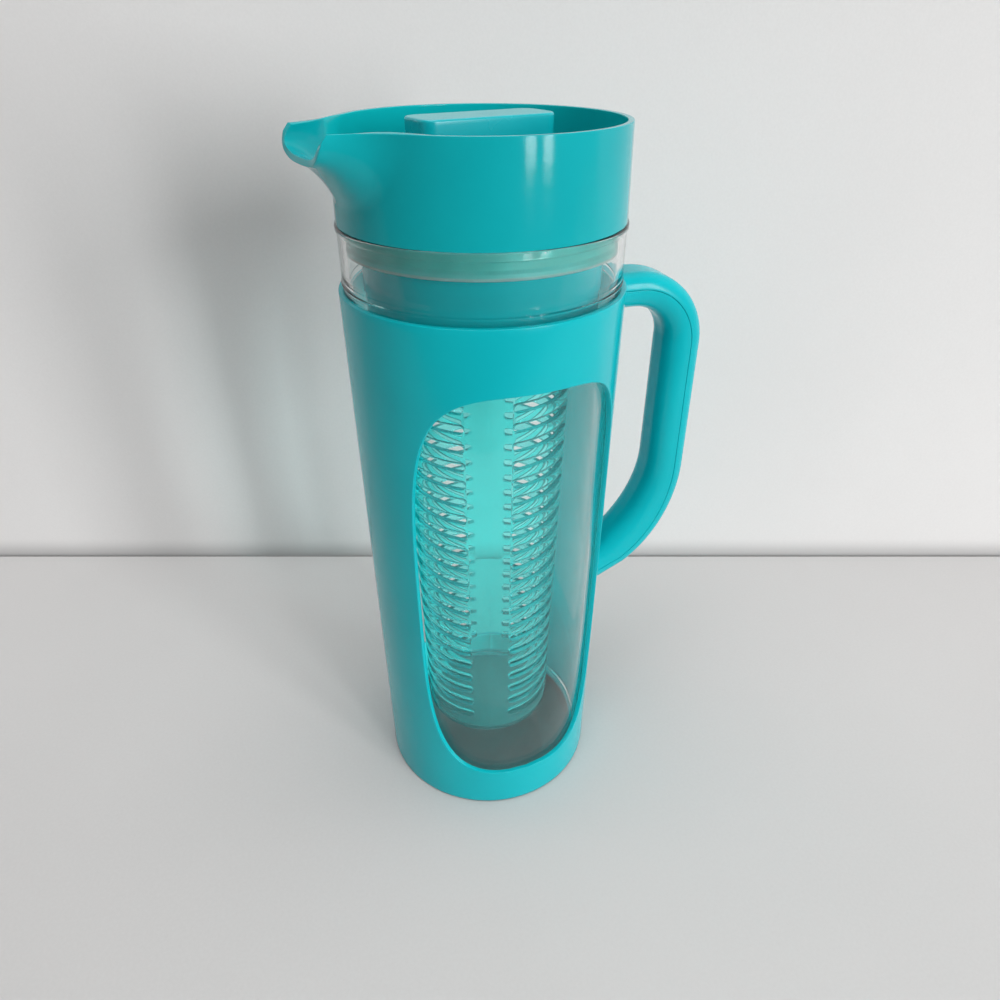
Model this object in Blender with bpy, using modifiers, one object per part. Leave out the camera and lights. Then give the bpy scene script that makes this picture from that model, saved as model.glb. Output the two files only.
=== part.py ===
"""Infusion pitcher: a clear vessel in a handled sleeve, under a spouted lid that carries a slotted infuser.

Metres, +Z up. The pitcher's axis is Z, the table is at Z = 0 and the handle points along +X.
"""

import math

import bmesh
import bpy
from mathutils import Vector

# Clearances
GAP = 0.0003  # between faces that seat on each other
SLIDE_GAP = 0.0004  # between the vessel and the sleeve that it lifts out of
CUT_MARGIN = 0.002  # how far a cutter runs past what it cuts

# Roundness
TURN_STEPS = 40
INFUSER_STEPS = 24
SMALL_TURN_STEPS = 24  # for the shaft, its ring and the screw
ARC_STEPS = 3
CORNER_STEPS = 4  # round the corners of the knob
BEND_STEPS = 8  # round the bends of the handle
SECTOR_STEPS = 8
VENT_STEPS = 4
RING_STEPS = 6
SHARP_ANGLE = math.radians(30)  # edges sharper than this stay crisp
MERGE_DISTANCE = 0.00001
FLAT_ANGLE = 0.001  # faces within this angle are joined

# Sleeve
SLEEVE_HEIGHT = 0.240
SLEEVE_RADIUS_TOP = 0.05325
SLEEVE_RADIUS_BOTTOM = 0.0504
SLEEVE_WALL = 0.0020
SLEEVE_EDGE = 0.0009
FOOT_LIFT = 0.0006  # the sleeve's lower edge stays off the table
LEDGE_RADIUS = 0.0445
LEDGE_THICKNESS = 0.0018
WINDOW_FROM_HANDLE = math.radians(84.5)  # from the handle round to the middle of a window
WINDOW_HALF_ANGLE = math.radians(54)
WINDOW_BELOW_RIM = 0.0238
WINDOW_ABOVE_TABLE = 0.021
WINDOW_ROUNDNESS = 3.7  # 2 would be an ellipse, more is squarer
WINDOW_STEPS = 48

# Handle
HANDLE_WIDTH = 0.021
HANDLE_DEPTH_TOP = 0.0142
HANDLE_DEPTH_LOW = 0.0147
HANDLE_SWELL = 0.0042  # how much deeper the handle is at its lower bend
HANDLE_CORNER = 0.0062
HANDLE_WALL = 0.0026
HANDLE_REACH = 0.0842  # from the axis to the middle of the grip
HANDLE_BELOW_RIM = 0.0071  # from the rim to the middle of the upper arm
HANDLE_DROP = 0.1138  # between the corners of the handle's middle line
HANDLE_LOW_SLOPE = math.radians(30)
HANDLE_TOP_BEND = 0.023
HANDLE_LOW_BEND = 0.060
COVER_DEPTH = 0.0060
COVER_RIB = 0.0030

# Base pad
PAD_FOOT = 0.0012
PAD_CROWN = 0.0010
PAD_LAP = 0.0018  # how far the pad's flanges reach past the sleeve's ledge

# Vessel
VESSEL_WALL = 0.0024
VESSEL_FLOOR = 0.0030
VESSEL_CORNER = 0.006
NECK_HEIGHT = 0.023  # from the sleeve's rim to the vessel's rim
NECK_SETBACK = 0.0016  # from the sleeve's outside to the neck's outside
BEAD_HEIGHT = 0.0025
BEAD_REACH = 0.0004

# Lid
LID_HEIGHT = 0.0317
LID_TAPER = 0.0006
LID_WALL = 0.0022
LID_FLOOR = 0.0024
LID_TURN = math.radians(14)  # the lid sits turned in the neck
CUP_CORNER = 0.003
SKIRT_DROP = 0.0238
SKIRT_WALL = 0.0022
BOSS_RADIUS = 0.0115
BOSS_HEIGHT = 0.0026
PORT_COUNT = 3
PORT_WIDTH = 0.004
PORT_PITCH = 0.007
PORT_INSET = 0.00305  # from the shutter's edge to the outermost port
PORT_HALF_ANGLE = math.radians(38)
VENT_INSET = 0.00705  # from the shutter's edge to the vent
VENT_HALF_ANGLE = math.radians(10)

# Spout
SPOUT_REACH = 0.0092  # from the lid's wall to the tips of the mouth
SPOUT_ROOT = 0.0055  # how far the spout runs in through the lid's wall
SPOUT_HALF_WIDTH = 0.0178
SPOUT_ROOT_HALF_WIDTH = 0.0215
SPOUT_DEPTH = 0.0098
SPOUT_ROOT_DEPTH = 0.027
SPOUT_SWEEP = 1.7  # how quickly the underside rises towards the mouth
SPOUT_LEAN = 0.5  # the lip bows forward of the mouth's tips
SPOUT_WALL = 0.0020
SPOUT_STATIONS = 8
SPOUT_ARC_STEPS = 12

# Seal
SEAL_WIDTH = 0.0054
SEAL_HEIGHT = 0.0092
SEAL_STEP = 0.0008  # the skirt's shoulder under the seal
SEAL_CORNER = 0.0014

# Knob
KNOB_LENGTH = 0.051
KNOB_WIDTH = 0.019
KNOB_PROUD = 0.001  # above the lid's rim
KNOB_CORNER = 0.0030
KNOB_EDGE = 0.0008
KNOB_WALL = 0.0022
SHAFT_RADIUS = 0.006
KEY_WIDTH = 0.0076
RING_SECTION = 0.0011

# Shutter and its screw
SHUTTER_THICKNESS = 0.0024
SHUTTER_INSET = 0.0020  # from the skirt to the shutter's edge
SHUTTER_LAP = math.radians(5)  # how far its openings reach past the ports
SHUTTER_MARGIN = 0.0015
SCREW_RADIUS = 0.0015
SCREW_LENGTH = 0.012
HEAD_RADIUS = 0.0055
HEAD_HEIGHT = 0.0026
DRIVE_WIDTH = 0.0012

# Infuser
INFUSER_RADIUS_TOP = 0.0347
INFUSER_RADIUS_BOTTOM = 0.0298
INFUSER_WALL = 0.0018
INFUSER_CORNER = 0.004
INFUSER_ABOVE_FLOOR = 0.0185
INFUSER_TURN = math.radians(-28)  # against the lid
SHOULDER_DROP = 0.0115
LUG_COUNT = 3
LUG_RISE = 0.0008
LUG_HEIGHT = 0.0026
LUG_REACH = 0.0020
LUG_HALF_ANGLE = math.radians(20)
COLLAR_LIP = 0.0015
SLOT_PITCH = 0.00817
SLOT_HEIGHT = 0.0036
SLOT_HALF_ANGLE = math.radians(76)
SLOT_MARGIN = 0.0085  # from the ends of the tube to the nearest slots

# Colours, linear
TEAL = (0.005, 0.42, 0.46)
PAD_GREY = (0.08, 0.11, 0.11)
CLEAR = (0.85, 0.92, 0.92)
SEAL_WHITE = (0.62, 0.68, 0.66)
RING_BLACK = (0.03, 0.03, 0.03)
STEEL = (0.55, 0.56, 0.57)
TINT = (0.10, 0.62, 0.61)

# Heights, from the table up
ledge_bottom = PAD_FOOT + GAP
ledge_top = ledge_bottom + LEDGE_THICKNESS
pad_top = ledge_top + GAP + PAD_CROWN
vessel_bottom = pad_top + GAP
vessel_floor = vessel_bottom + VESSEL_FLOOR
neck_bottom = SLEEVE_HEIGHT + GAP
vessel_rim = SLEEVE_HEIGHT + NECK_HEIGHT
lid_bottom = vessel_rim + GAP
lid_floor = lid_bottom + LID_FLOOR
lid_rim = lid_bottom + LID_HEIGHT
boss_top = lid_floor + BOSS_HEIGHT
knob_bottom = boss_top + GAP
knob_top = lid_rim + KNOB_PROUD
skirt_bottom = lid_bottom - SKIRT_DROP
seal_top = lid_bottom - GAP
seal_bottom = seal_top - SEAL_HEIGHT
seal_seat = seal_bottom - GAP
shutter_top = lid_bottom - GAP
shutter_bottom = shutter_top - SHUTTER_THICKNESS
head_top = shutter_bottom - GAP
lid_lug_bottom = skirt_bottom + LUG_RISE
collar_lug_bottom = lid_lug_bottom + LUG_HEIGHT + GAP
collar_top = collar_lug_bottom + LUG_HEIGHT + COLLAR_LIP
shoulder = skirt_bottom - SHOULDER_DROP
infuser_bottom = vessel_floor + INFUSER_ABOVE_FLOOR

# Radii, from the sleeve in
pad_flange = LEDGE_RADIUS + PAD_LAP
neck_radius = SLEEVE_RADIUS_TOP - NECK_SETBACK
neck_bore = neck_radius - VESSEL_WALL
lid_radius_top = neck_radius - LID_TAPER
seal_radius = neck_bore - GAP
seal_bore = seal_radius - SEAL_WIDTH
skirt_neck = seal_bore - GAP
skirt_radius = skirt_neck + SEAL_STEP
skirt_bore = skirt_neck - SKIRT_WALL
lug_bore = skirt_bore - LUG_REACH
collar_radius = lug_bore - GAP
shutter_radius = skirt_bore - SHUTTER_INSET
shaft_bore = SHAFT_RADIUS + GAP
port_radii = [shutter_radius - PORT_INSET - PORT_WIDTH - PORT_PITCH * port for port in range(PORT_COUNT)]
vent_radius = shutter_radius - VENT_INSET - PORT_WIDTH


def sleeve_radius(height):
    """Outer radius of the tapered sleeve at a height."""
    return SLEEVE_RADIUS_BOTTOM + (SLEEVE_RADIUS_TOP - SLEEVE_RADIUS_BOTTOM) * height / SLEEVE_HEIGHT


def sleeve_bore(height):
    """Inner radius of the sleeve at a height."""
    return sleeve_radius(height) - SLEEVE_WALL


def vessel_radius(height):
    """Outer radius of the vessel inside the sleeve at a height."""
    return sleeve_bore(height) - SLIDE_GAP


def infuser_radius(height):
    """Outer radius of the infuser's tapered tube at a height."""
    share = (height - infuser_bottom) / (shoulder - infuser_bottom)
    return INFUSER_RADIUS_BOTTOM + (INFUSER_RADIUS_TOP - INFUSER_RADIUS_BOTTOM) * share


def filleted(corners, closed=False, steps=ARC_STEPS):
    """Flat points through corners (across, up, radius), with an arc at each corner that has a radius."""
    points = []
    for index, (across, up, radius) in enumerate(corners):
        corner = Vector((across, up))
        at_end = not closed and index in (0, len(corners) - 1)
        if at_end or radius == 0:
            points.append(corner)
            continue
        back = (Vector(corners[index - 1][:2]) - corner).normalized()
        ahead = (Vector(corners[(index + 1) % len(corners)][:2]) - corner).normalized()
        half = back.angle(ahead) / 2
        centre = corner + (back + ahead).normalized() * radius / math.sin(half)
        first = corner + back * radius / math.tan(half) - centre
        last = corner + ahead * radius / math.tan(half) - centre
        start = math.atan2(first.y, first.x)
        sweep = math.remainder(math.atan2(last.y, last.x) - start, math.tau)
        for step in range(steps + 1):
            angle = start + sweep * step / steps
            points.append(centre + Vector((math.cos(angle), math.sin(angle))) * radius)
    return points


def sector(inner, outer, middle, half_angle, steps=SECTOR_STEPS):
    """Flat points of a piece of a ring between two radii, about the angle of its middle."""
    angles = [middle - half_angle + 2 * half_angle * step / steps for step in range(steps + 1)]
    outside = [Vector((outer * math.cos(angle), outer * math.sin(angle))) for angle in angles]
    inside = [Vector((inner * math.cos(angle), inner * math.sin(angle))) for angle in reversed(angles)]
    return outside + inside


def place(name, data, parent, cutter=False):
    """Add an object under its parent, as a piece or as a cutter."""
    item = bpy.data.objects.new(name, data)
    item.parent = parent
    if cutter:
        item.hide_render = True
        item.display_type = "WIRE"
        cutters.objects.link(item)
    else:
        pieces.objects.link(item)
    return item


def axis(name, parent=None, turn=0.0):
    """Add an empty on the pitcher's axis, for the pieces that move together."""
    item = place(name, None, parent)
    item.rotation_euler.z = turn
    return item


def turned(name, profile, parent, cutter=False, closed=False, steps=TURN_STEPS):
    """Turn a profile of (radius, height) about the axis."""
    edges = [(index, index + 1) for index in range(len(profile) - 1)]
    if closed:
        edges.append((len(profile) - 1, 0))
    mesh = bpy.data.meshes.new(name)
    mesh.from_pydata([(point[0], 0, point[1]) for point in profile], edges, [])
    item = place(name, mesh, parent, cutter)
    screw = item.modifiers.new("Turn", "SCREW")
    screw.steps = steps
    screw.render_steps = steps
    screw.use_merge_vertices = True
    screw.merge_threshold = MERGE_DISTANCE
    return item


def prism_mesh(name, outlines):
    """Mesh of flat outlines, each (points, bottom, top), raised between two heights."""
    built = bmesh.new()
    for points, bottom, top in outlines:
        curve = bpy.data.curves.new(name, "CURVE")
        curve.dimensions = "2D"
        curve.fill_mode = "BOTH"
        curve.extrude = (top - bottom) / 2
        spline = curve.splines.new("POLY")
        spline.points.add(len(points) - 1)
        spline.use_cyclic_u = True
        for target, point in zip(spline.points, points):
            target.co = (point[0], point[1], 0, 1)
        guide = bpy.data.objects.new(name, curve)
        guide.location.z = (top + bottom) / 2
        cutters.objects.link(guide)
        graph = bpy.context.evaluated_depsgraph_get()
        raised = bpy.data.meshes.new_from_object(guide.evaluated_get(graph))
        raised.transform(guide.matrix_world)
        built.from_mesh(raised)
        bpy.data.objects.remove(guide)
        bpy.data.meshes.remove(raised)
        bpy.data.curves.remove(curve)
    bmesh.ops.remove_doubles(built, verts=built.verts, dist=MERGE_DISTANCE)
    bmesh.ops.dissolve_limit(built, angle_limit=FLAT_ANGLE, verts=built.verts, edges=built.edges)
    bmesh.ops.recalc_face_normals(built, faces=built.faces)
    mesh = bpy.data.meshes.new(name)
    built.to_mesh(mesh)
    built.free()
    return mesh


def prism(name, outlines, parent, cutter=False):
    """Raise flat outlines, each (points, bottom, top), along the axis."""
    return place(name, prism_mesh(name, outlines), parent, cutter)


def wrapped(name, points, inner, outer, wrap_radius, middle, parent):
    """Cutter of a flat outline that is bent round the axis, with radial walls between two radii."""
    mesh = prism_mesh(name, [(points, inner, outer)])
    for vertex in mesh.vertices:
        along, height, radius = vertex.co
        angle = middle + along / wrap_radius
        vertex.co = (radius * math.cos(angle), radius * math.sin(angle), height)
    outward = bmesh.new()
    outward.from_mesh(mesh)
    bmesh.ops.recalc_face_normals(outward, faces=outward.faces)
    outward.to_mesh(mesh)
    outward.free()
    return place(name, mesh, parent, cutter=True)


def loft(name, rings, parent, cutter=False):
    """Skin a run of rings of points into one closed body."""
    built = bmesh.new()
    rows = [[built.verts.new(point) for point in ring] for ring in rings]
    count = len(rows[0])
    for near, far in zip(rows, rows[1:]):
        for index in range(count):
            after = (index + 1) % count
            built.faces.new((near[index], near[after], far[after], far[index]))
    built.faces.new(rows[0])
    built.faces.new(rows[-1])
    bmesh.ops.recalc_face_normals(built, faces=built.faces)
    mesh = bpy.data.meshes.new(name)
    built.to_mesh(mesh)
    built.free()
    return place(name, mesh, parent, cutter)


def combine(item, operation, tool):
    """Cut a tool from an item, or join it on.

    The spout, the windows and the slots meet the walls at shallow angles, where this solver still
    leaves one closed body.
    """
    boolean = item.modifiers.new(tool.name, "BOOLEAN")
    boolean.operation = operation
    boolean.object = tool
    boolean.solver = "MANIFOLD"


def finish(item, colour, roughness, opacity=1.0):
    """Give a piece its material and smooth shading."""
    material = bpy.data.materials.new(item.name)
    material.use_nodes = True
    shader = material.node_tree.nodes["Principled BSDF"]
    shader.inputs["Base Color"].default_value = (*colour, 1.0)
    shader.inputs["Roughness"].default_value = roughness
    shader.inputs["Metallic"].default_value = 0.0
    shader.inputs["Alpha"].default_value = opacity
    item.data.materials.append(material)
    item.data.shade_smooth()
    item.data.set_sharp_from_angle(angle=SHARP_ANGLE)


def handle_line():
    """Middle line of the handle, as flat points of (from the axis, height), from its upper end down."""
    top = SLEEVE_HEIGHT - HANDLE_BELOW_RIM
    low = top - HANDLE_DROP
    low_end = low - HANDLE_REACH * math.tan(HANDLE_LOW_SLOPE)
    corners = [
        (0, top, 0),
        (HANDLE_REACH, top, HANDLE_TOP_BEND),
        (HANDLE_REACH, low, HANDLE_LOW_BEND),
        (0, low_end, 0),
    ]
    return filleted(corners, steps=BEND_STEPS)


def handle_rings(section):
    """Rings along the handle; section gives flat points of (outward, sideways) for a handle depth."""
    line = handle_line()
    rings = []
    for index, point in enumerate(line):
        ahead = line[min(index + 1, len(line) - 1)] - line[max(index - 1, 0)]
        outward = Vector((-ahead.y, ahead.x)).normalized()
        share = index / (len(line) - 1)
        depth = HANDLE_DEPTH_TOP + (HANDLE_DEPTH_LOW - HANDLE_DEPTH_TOP) * share
        depth += HANDLE_SWELL * math.sin(math.pi * share ** 3)
        ring = []
        for out, side in section(depth):
            spot = point + outward * out
            ring.append((spot.x, side, spot.y))
        rings.append(ring)
    return rings


def channel_section(depth):
    """The grip's U: open towards the outside of the handle."""
    half = HANDLE_WIDTH / 2
    seam = depth / 2 - COVER_DEPTH
    back = -depth / 2
    inner = half - HANDLE_WALL
    inner_corner = HANDLE_CORNER - HANDLE_WALL
    corners = [
        (seam, -half, 0),
        (back, -half, HANDLE_CORNER),
        (back, half, HANDLE_CORNER),
        (seam, half, 0),
        (seam, inner, 0),
        (back + HANDLE_WALL, inner, inner_corner),
        (back + HANDLE_WALL, -inner, inner_corner),
        (seam, -inner, 0),
    ]
    return filleted(corners, closed=True)


def cover_section(depth):
    """The cover that closes the U, with a rib that sits between its walls."""
    half = HANDLE_WIDTH / 2
    seam = depth / 2 - COVER_DEPTH
    rib = half - HANDLE_WALL - GAP
    corners = [
        (seam + GAP, half, 0),
        (depth / 2, half, COVER_DEPTH - 2 * GAP),
        (depth / 2, -half, COVER_DEPTH - 2 * GAP),
        (seam + GAP, -half, 0),
        (seam + GAP, -rib, 0),
        (seam - COVER_RIB, -rib, 0),
        (seam - COVER_RIB, rib, 0),
        (seam + GAP, rib, 0),
    ]
    return filleted(corners, closed=True)


def window_outline(half_width):
    """Flat points of a window, (across, height): an ellipse that is squared off towards its corners."""
    window_top = SLEEVE_HEIGHT - WINDOW_BELOW_RIM
    middle = (window_top + WINDOW_ABOVE_TABLE) / 2
    half_height = (window_top - WINDOW_ABOVE_TABLE) / 2
    points = []
    for step in range(WINDOW_STEPS):
        angle = math.tau * step / WINDOW_STEPS
        across = math.copysign(abs(math.cos(angle)) ** (2 / WINDOW_ROUNDNESS), math.cos(angle))
        up = math.copysign(abs(math.sin(angle)) ** (2 / WINDOW_ROUNDNESS), math.sin(angle))
        points.append(Vector((across * half_width, middle + up * half_height)))
    return points


def make_sleeve(parent):
    """Tapered sleeve with the grip moulded on, two windows and a ledge for the vessel."""
    top = SLEEVE_HEIGHT + CUT_MARGIN
    outside = filleted([
        (0, SLEEVE_HEIGHT, 0),
        (SLEEVE_RADIUS_TOP, SLEEVE_HEIGHT, SLEEVE_EDGE),
        (sleeve_radius(FOOT_LIFT), FOOT_LIFT, SLEEVE_EDGE),
        (0, FOOT_LIFT, 0),
    ])
    sleeve = turned("sleeve", outside, parent)
    combine(sleeve, "UNION", loft("grip_form", handle_rings(channel_section), parent, cutter=True))
    inside = [
        (0, top),
        (sleeve_bore(top), top),
        (sleeve_bore(ledge_top), ledge_top),
        (LEDGE_RADIUS, ledge_top),
        (LEDGE_RADIUS, ledge_bottom),
        (pad_flange + GAP, ledge_bottom),
        (pad_flange + GAP, -CUT_MARGIN),
        (0, -CUT_MARGIN),
    ]
    combine(sleeve, "DIFFERENCE", turned("sleeve_inside", inside, parent, cutter=True))
    wrap_radius = sleeve_radius(SLEEVE_HEIGHT / 2)
    window = window_outline(WINDOW_HALF_ANGLE * wrap_radius)
    near = sleeve_bore(0) / 2
    far = SLEEVE_RADIUS_TOP / math.cos(WINDOW_HALF_ANGLE) + CUT_MARGIN
    for side, middle in (("front", -WINDOW_FROM_HANDLE), ("back", WINDOW_FROM_HANDLE)):
        cutter = wrapped(side + "_window", window, near, far, wrap_radius, middle, parent)
        combine(sleeve, "DIFFERENCE", cutter)
    finish(sleeve, TEAL, 0.22)


def make_handle_cover(parent):
    """Strip that closes the outside of the grip."""
    cover = loft("handle_cover", handle_rings(cover_section), parent)
    low = -CUT_MARGIN
    high = SLEEVE_HEIGHT + HANDLE_DEPTH_TOP
    keep_off = [
        (0, high),
        (sleeve_radius(high) + GAP, high),
        (sleeve_radius(low) + GAP, low),
        (0, low),
    ]
    combine(cover, "DIFFERENCE", turned("sleeve_clearance", keep_off, parent, cutter=True))
    finish(cover, TEAL, 0.25)


def make_base_pad(parent):
    """Rubber disc with a groove round its edge that holds it in the sleeve's ledge."""
    profile = [
        (0, pad_top),
        (pad_flange, pad_top),
        (pad_flange, ledge_top + GAP),
        (LEDGE_RADIUS - GAP, ledge_top + GAP),
        (LEDGE_RADIUS - GAP, PAD_FOOT),
        (pad_flange, PAD_FOOT),
        (pad_flange, 0),
        (0, 0),
    ]
    finish(turned("base_pad", profile, parent), PAD_GREY, 0.7)


def make_vessel(parent):
    """Clear vessel that stands on the pad, with a neck and a beaded rim above the sleeve."""
    bead = neck_radius + BEAD_REACH
    bore_bottom = vessel_radius(vessel_floor) - VESSEL_WALL
    bore_shoulder = vessel_radius(SLEEVE_HEIGHT) - VESSEL_WALL
    neck_step = neck_bore - bore_shoulder
    profile = filleted([
        (0, vessel_floor, 0),
        (bore_bottom, vessel_floor, VESSEL_CORNER),
        (bore_shoulder, SLEEVE_HEIGHT - neck_step, 0),
        (neck_bore, neck_bottom + neck_step, 0),
        (neck_bore, vessel_rim, VESSEL_WALL / 4),
        (bead, vessel_rim, BEAD_HEIGHT / 3),
        (bead, vessel_rim - BEAD_HEIGHT, 0),
        (neck_radius, vessel_rim - BEAD_HEIGHT - BEAD_REACH, 0),
        (neck_radius, neck_bottom, 0),
        (vessel_radius(SLEEVE_HEIGHT), neck_bottom, 0),
        (vessel_radius(vessel_bottom), vessel_bottom, VESSEL_CORNER / 2),
        (0, vessel_bottom, 0),
    ])
    finish(turned("vessel", profile, parent), CLEAR, 0.05, opacity=0.25)


def spout_ring(along, half_width, depth, lean, top):
    """Ring of the spout at a distance along it: an open gutter under the rim, run up past it."""
    ring = [(-along, half_width, top), (-along, -half_width, top)]
    for step in range(SPOUT_ARC_STEPS + 1):
        angle = math.pi * step / SPOUT_ARC_STEPS
        low = max(0.0, math.sin(angle))
        forward = lean * depth * math.sqrt(low)
        ring.append((-along - forward, -half_width * math.cos(angle), lid_rim - depth * low))
    return ring


def spout_rings(wall, start, end, top):
    """Rings of the spout, drawn in by a wall thickness, between two distances from the axis."""
    mouth = lid_radius_top + SPOUT_REACH
    root = lid_radius_top - SPOUT_ROOT
    rings = []
    for station in range(SPOUT_STATIONS + 1):
        along = start + (end - start) * station / SPOUT_STATIONS
        share = max(0.0, min(1.0, (mouth - along) / (mouth - root)))
        half_width = SPOUT_HALF_WIDTH + (SPOUT_ROOT_HALF_WIDTH - SPOUT_HALF_WIDTH) * share
        depth = SPOUT_DEPTH + (SPOUT_ROOT_DEPTH - SPOUT_DEPTH) * share ** SPOUT_SWEEP
        lean = SPOUT_LEAN * (1 - share)
        rings.append(spout_ring(along, half_width - wall, depth - wall, lean, top))
    return rings


def make_lid(parent):
    """Lid: a deep open cup with a pouring spout, ports in its floor, and a skirt that plugs the neck."""
    top = lid_rim + CUT_MARGIN
    outside = [
        (0, top),
        (lid_radius_top, top),
        (lid_radius_top, lid_rim),
        (neck_radius, lid_bottom),
        (skirt_neck, lid_bottom),
        (skirt_neck, seal_seat),
        (skirt_radius, seal_seat),
        (skirt_radius, skirt_bottom),
        (skirt_bore, skirt_bottom),
        (skirt_bore, lid_bottom),
        (0, lid_bottom),
    ]
    lid = turned("lid", outside, parent)
    mouth = lid_radius_top + SPOUT_REACH
    root = lid_radius_top - SPOUT_ROOT
    combine(lid, "UNION", loft("spout_form", spout_rings(0, root, mouth, top), parent, cutter=True))
    higher = top + CUT_MARGIN
    inside = filleted([
        (0, higher, 0),
        (lid_radius_top - LID_WALL, higher, 0),
        (neck_radius - LID_WALL, lid_floor, CUP_CORNER),
        (BOSS_RADIUS, lid_floor, 0),
        (BOSS_RADIUS, boss_top, 0),
        (0, boss_top, 0),
    ])
    combine(lid, "DIFFERENCE", turned("lid_inside", inside, parent, cutter=True))
    gutter = spout_rings(SPOUT_WALL, root - CUT_MARGIN, mouth + CUT_MARGIN, higher)
    combine(lid, "DIFFERENCE", loft("spout_gutter", gutter, parent, cutter=True))
    trim = [(0, higher), (2 * mouth, higher), (2 * mouth, lid_rim), (0, lid_rim)]
    combine(lid, "DIFFERENCE", turned("lid_trim", trim, parent, cutter=True))
    ring_seat = shaft_bore + 2 * RING_SECTION + GAP
    bore = [
        (0, higher),
        (ring_seat, higher),
        (ring_seat, boss_top - 2 * RING_SECTION - GAP),
        (shaft_bore, boss_top - 2 * RING_SECTION - GAP),
        (shaft_bore, lid_bottom - CUT_MARGIN),
        (0, lid_bottom - CUT_MARGIN),
    ]
    combine(lid, "DIFFERENCE", turned("shaft_bore", bore, parent, cutter=True))
    low = lid_bottom - CUT_MARGIN
    high = lid_floor + CUT_MARGIN
    ports = [
        (sector(radius, radius + PORT_WIDTH, math.pi, PORT_HALF_ANGLE), low, high)
        for radius in port_radii
    ]
    vent = sector(vent_radius, vent_radius + PORT_WIDTH, 0, VENT_HALF_ANGLE, VENT_STEPS)
    ports.append((vent, low, high))
    combine(lid, "DIFFERENCE", prism("pour_ports", ports, parent, cutter=True))
    lugs = [
        (sector(lug_bore, skirt_bore + SKIRT_WALL / 2, math.tau * lug / LUG_COUNT, LUG_HALF_ANGLE),
         lid_lug_bottom, lid_lug_bottom + LUG_HEIGHT)
        for lug in range(LUG_COUNT)
    ]
    combine(lid, "UNION", prism("lid_lugs", lugs, parent, cutter=True))
    finish(lid, TEAL, 0.15)


def make_lid_seal(parent):
    """Soft ring round the lid's skirt that closes the neck."""
    profile = filleted([
        (seal_bore, seal_top, 0),
        (seal_radius, seal_top, SEAL_CORNER),
        (seal_radius, seal_bottom, SEAL_CORNER),
        (seal_bore, seal_bottom, 0),
    ], closed=True, steps=2)
    finish(turned("lid_seal", profile, parent, closed=True), SEAL_WHITE, 0.45)


def bar(length, width, corner):
    """Flat outline of a bar with rounded corners, across the axis."""
    return filleted([
        (length / 2, width / 2, corner),
        (-length / 2, width / 2, corner),
        (-length / 2, -width / 2, corner),
        (length / 2, -width / 2, corner),
    ], closed=True, steps=CORNER_STEPS)


def make_knob(parent):
    """Hollow bar that the fingers turn, with a shaft through the lid's floor."""
    knob = prism("knob", [(bar(KNOB_LENGTH, KNOB_WIDTH, KNOB_CORNER), knob_bottom, knob_top)], parent)
    edge = knob.modifiers.new("Edge", "BEVEL")
    edge.width = KNOB_EDGE
    edge.segments = 2
    hollow = bar(KNOB_LENGTH - 2 * KNOB_WALL, KNOB_WIDTH - 2 * KNOB_WALL, KNOB_CORNER - KNOB_WALL / 2)
    cavity = [(hollow, knob_bottom - CUT_MARGIN, knob_top - KNOB_WALL)]
    combine(knob, "DIFFERENCE", prism("knob_hollow", cavity, parent, cutter=True))
    shaft = [
        (0, knob_top - KNOB_WALL / 2),
        (SHAFT_RADIUS, knob_top - KNOB_WALL / 2),
        (SHAFT_RADIUS, lid_bottom),
        (0, lid_bottom),
    ]
    combine(knob, "UNION", turned("knob_shaft", shaft, parent, cutter=True, steps=SMALL_TURN_STEPS))
    key = [(bar(KEY_WIDTH, KEY_WIDTH, 0), shutter_bottom, lid_bottom + CUT_MARGIN)]
    combine(knob, "UNION", prism("knob_key", key, parent, cutter=True))
    hole = [
        (0, head_top + SCREW_LENGTH + GAP),
        (SCREW_RADIUS + GAP, head_top + SCREW_LENGTH + GAP),
        (SCREW_RADIUS + GAP, shutter_bottom - CUT_MARGIN),
        (0, shutter_bottom - CUT_MARGIN),
    ]
    combine(knob, "DIFFERENCE", turned("screw_hole", hole, parent, cutter=True, steps=SMALL_TURN_STEPS))
    finish(knob, TEAL, 0.25)


def make_shaft_ring(parent):
    """Soft ring that seals the shaft in the lid's boss."""
    bpy.ops.mesh.primitive_torus_add(
        major_radius=shaft_bore + RING_SECTION,
        minor_radius=RING_SECTION,
        major_segments=SMALL_TURN_STEPS,
        minor_segments=RING_STEPS,
        location=(0, 0, 0),
    )
    made = bpy.context.object
    mesh = made.data
    bpy.data.objects.remove(made)
    ring = place("shaft_ring", mesh, parent)
    ring.location.z = boss_top - RING_SECTION
    finish(ring, RING_BLACK, 0.6)


def make_shutter(parent):
    """Disc under the lid's floor that opens or closes the ports as the knob turns."""
    profile = [
        (0, shutter_top),
        (shutter_radius, shutter_top),
        (shutter_radius, shutter_bottom),
        (0, shutter_bottom),
    ]
    shutter = turned("shutter", profile, parent)
    low = shutter_bottom - CUT_MARGIN
    high = shutter_top + CUT_MARGIN
    inner = min(port_radii) - SHUTTER_MARGIN
    outer = max(port_radii) + PORT_WIDTH + SHUTTER_MARGIN
    vent_inner = vent_radius - SHUTTER_MARGIN
    vent_outer = vent_radius + PORT_WIDTH + SHUTTER_MARGIN
    openings = [
        (sector(inner, outer, math.pi, PORT_HALF_ANGLE + SHUTTER_LAP), low, high),
        (sector(vent_inner, vent_outer, 0, VENT_HALF_ANGLE + SHUTTER_LAP, VENT_STEPS), low, high),
        (bar(KEY_WIDTH + 2 * GAP, KEY_WIDTH + 2 * GAP, 0), low, high),
    ]
    combine(shutter, "DIFFERENCE", prism("shutter_openings", openings, parent, cutter=True))
    finish(shutter, TEAL, 0.3)


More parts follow.
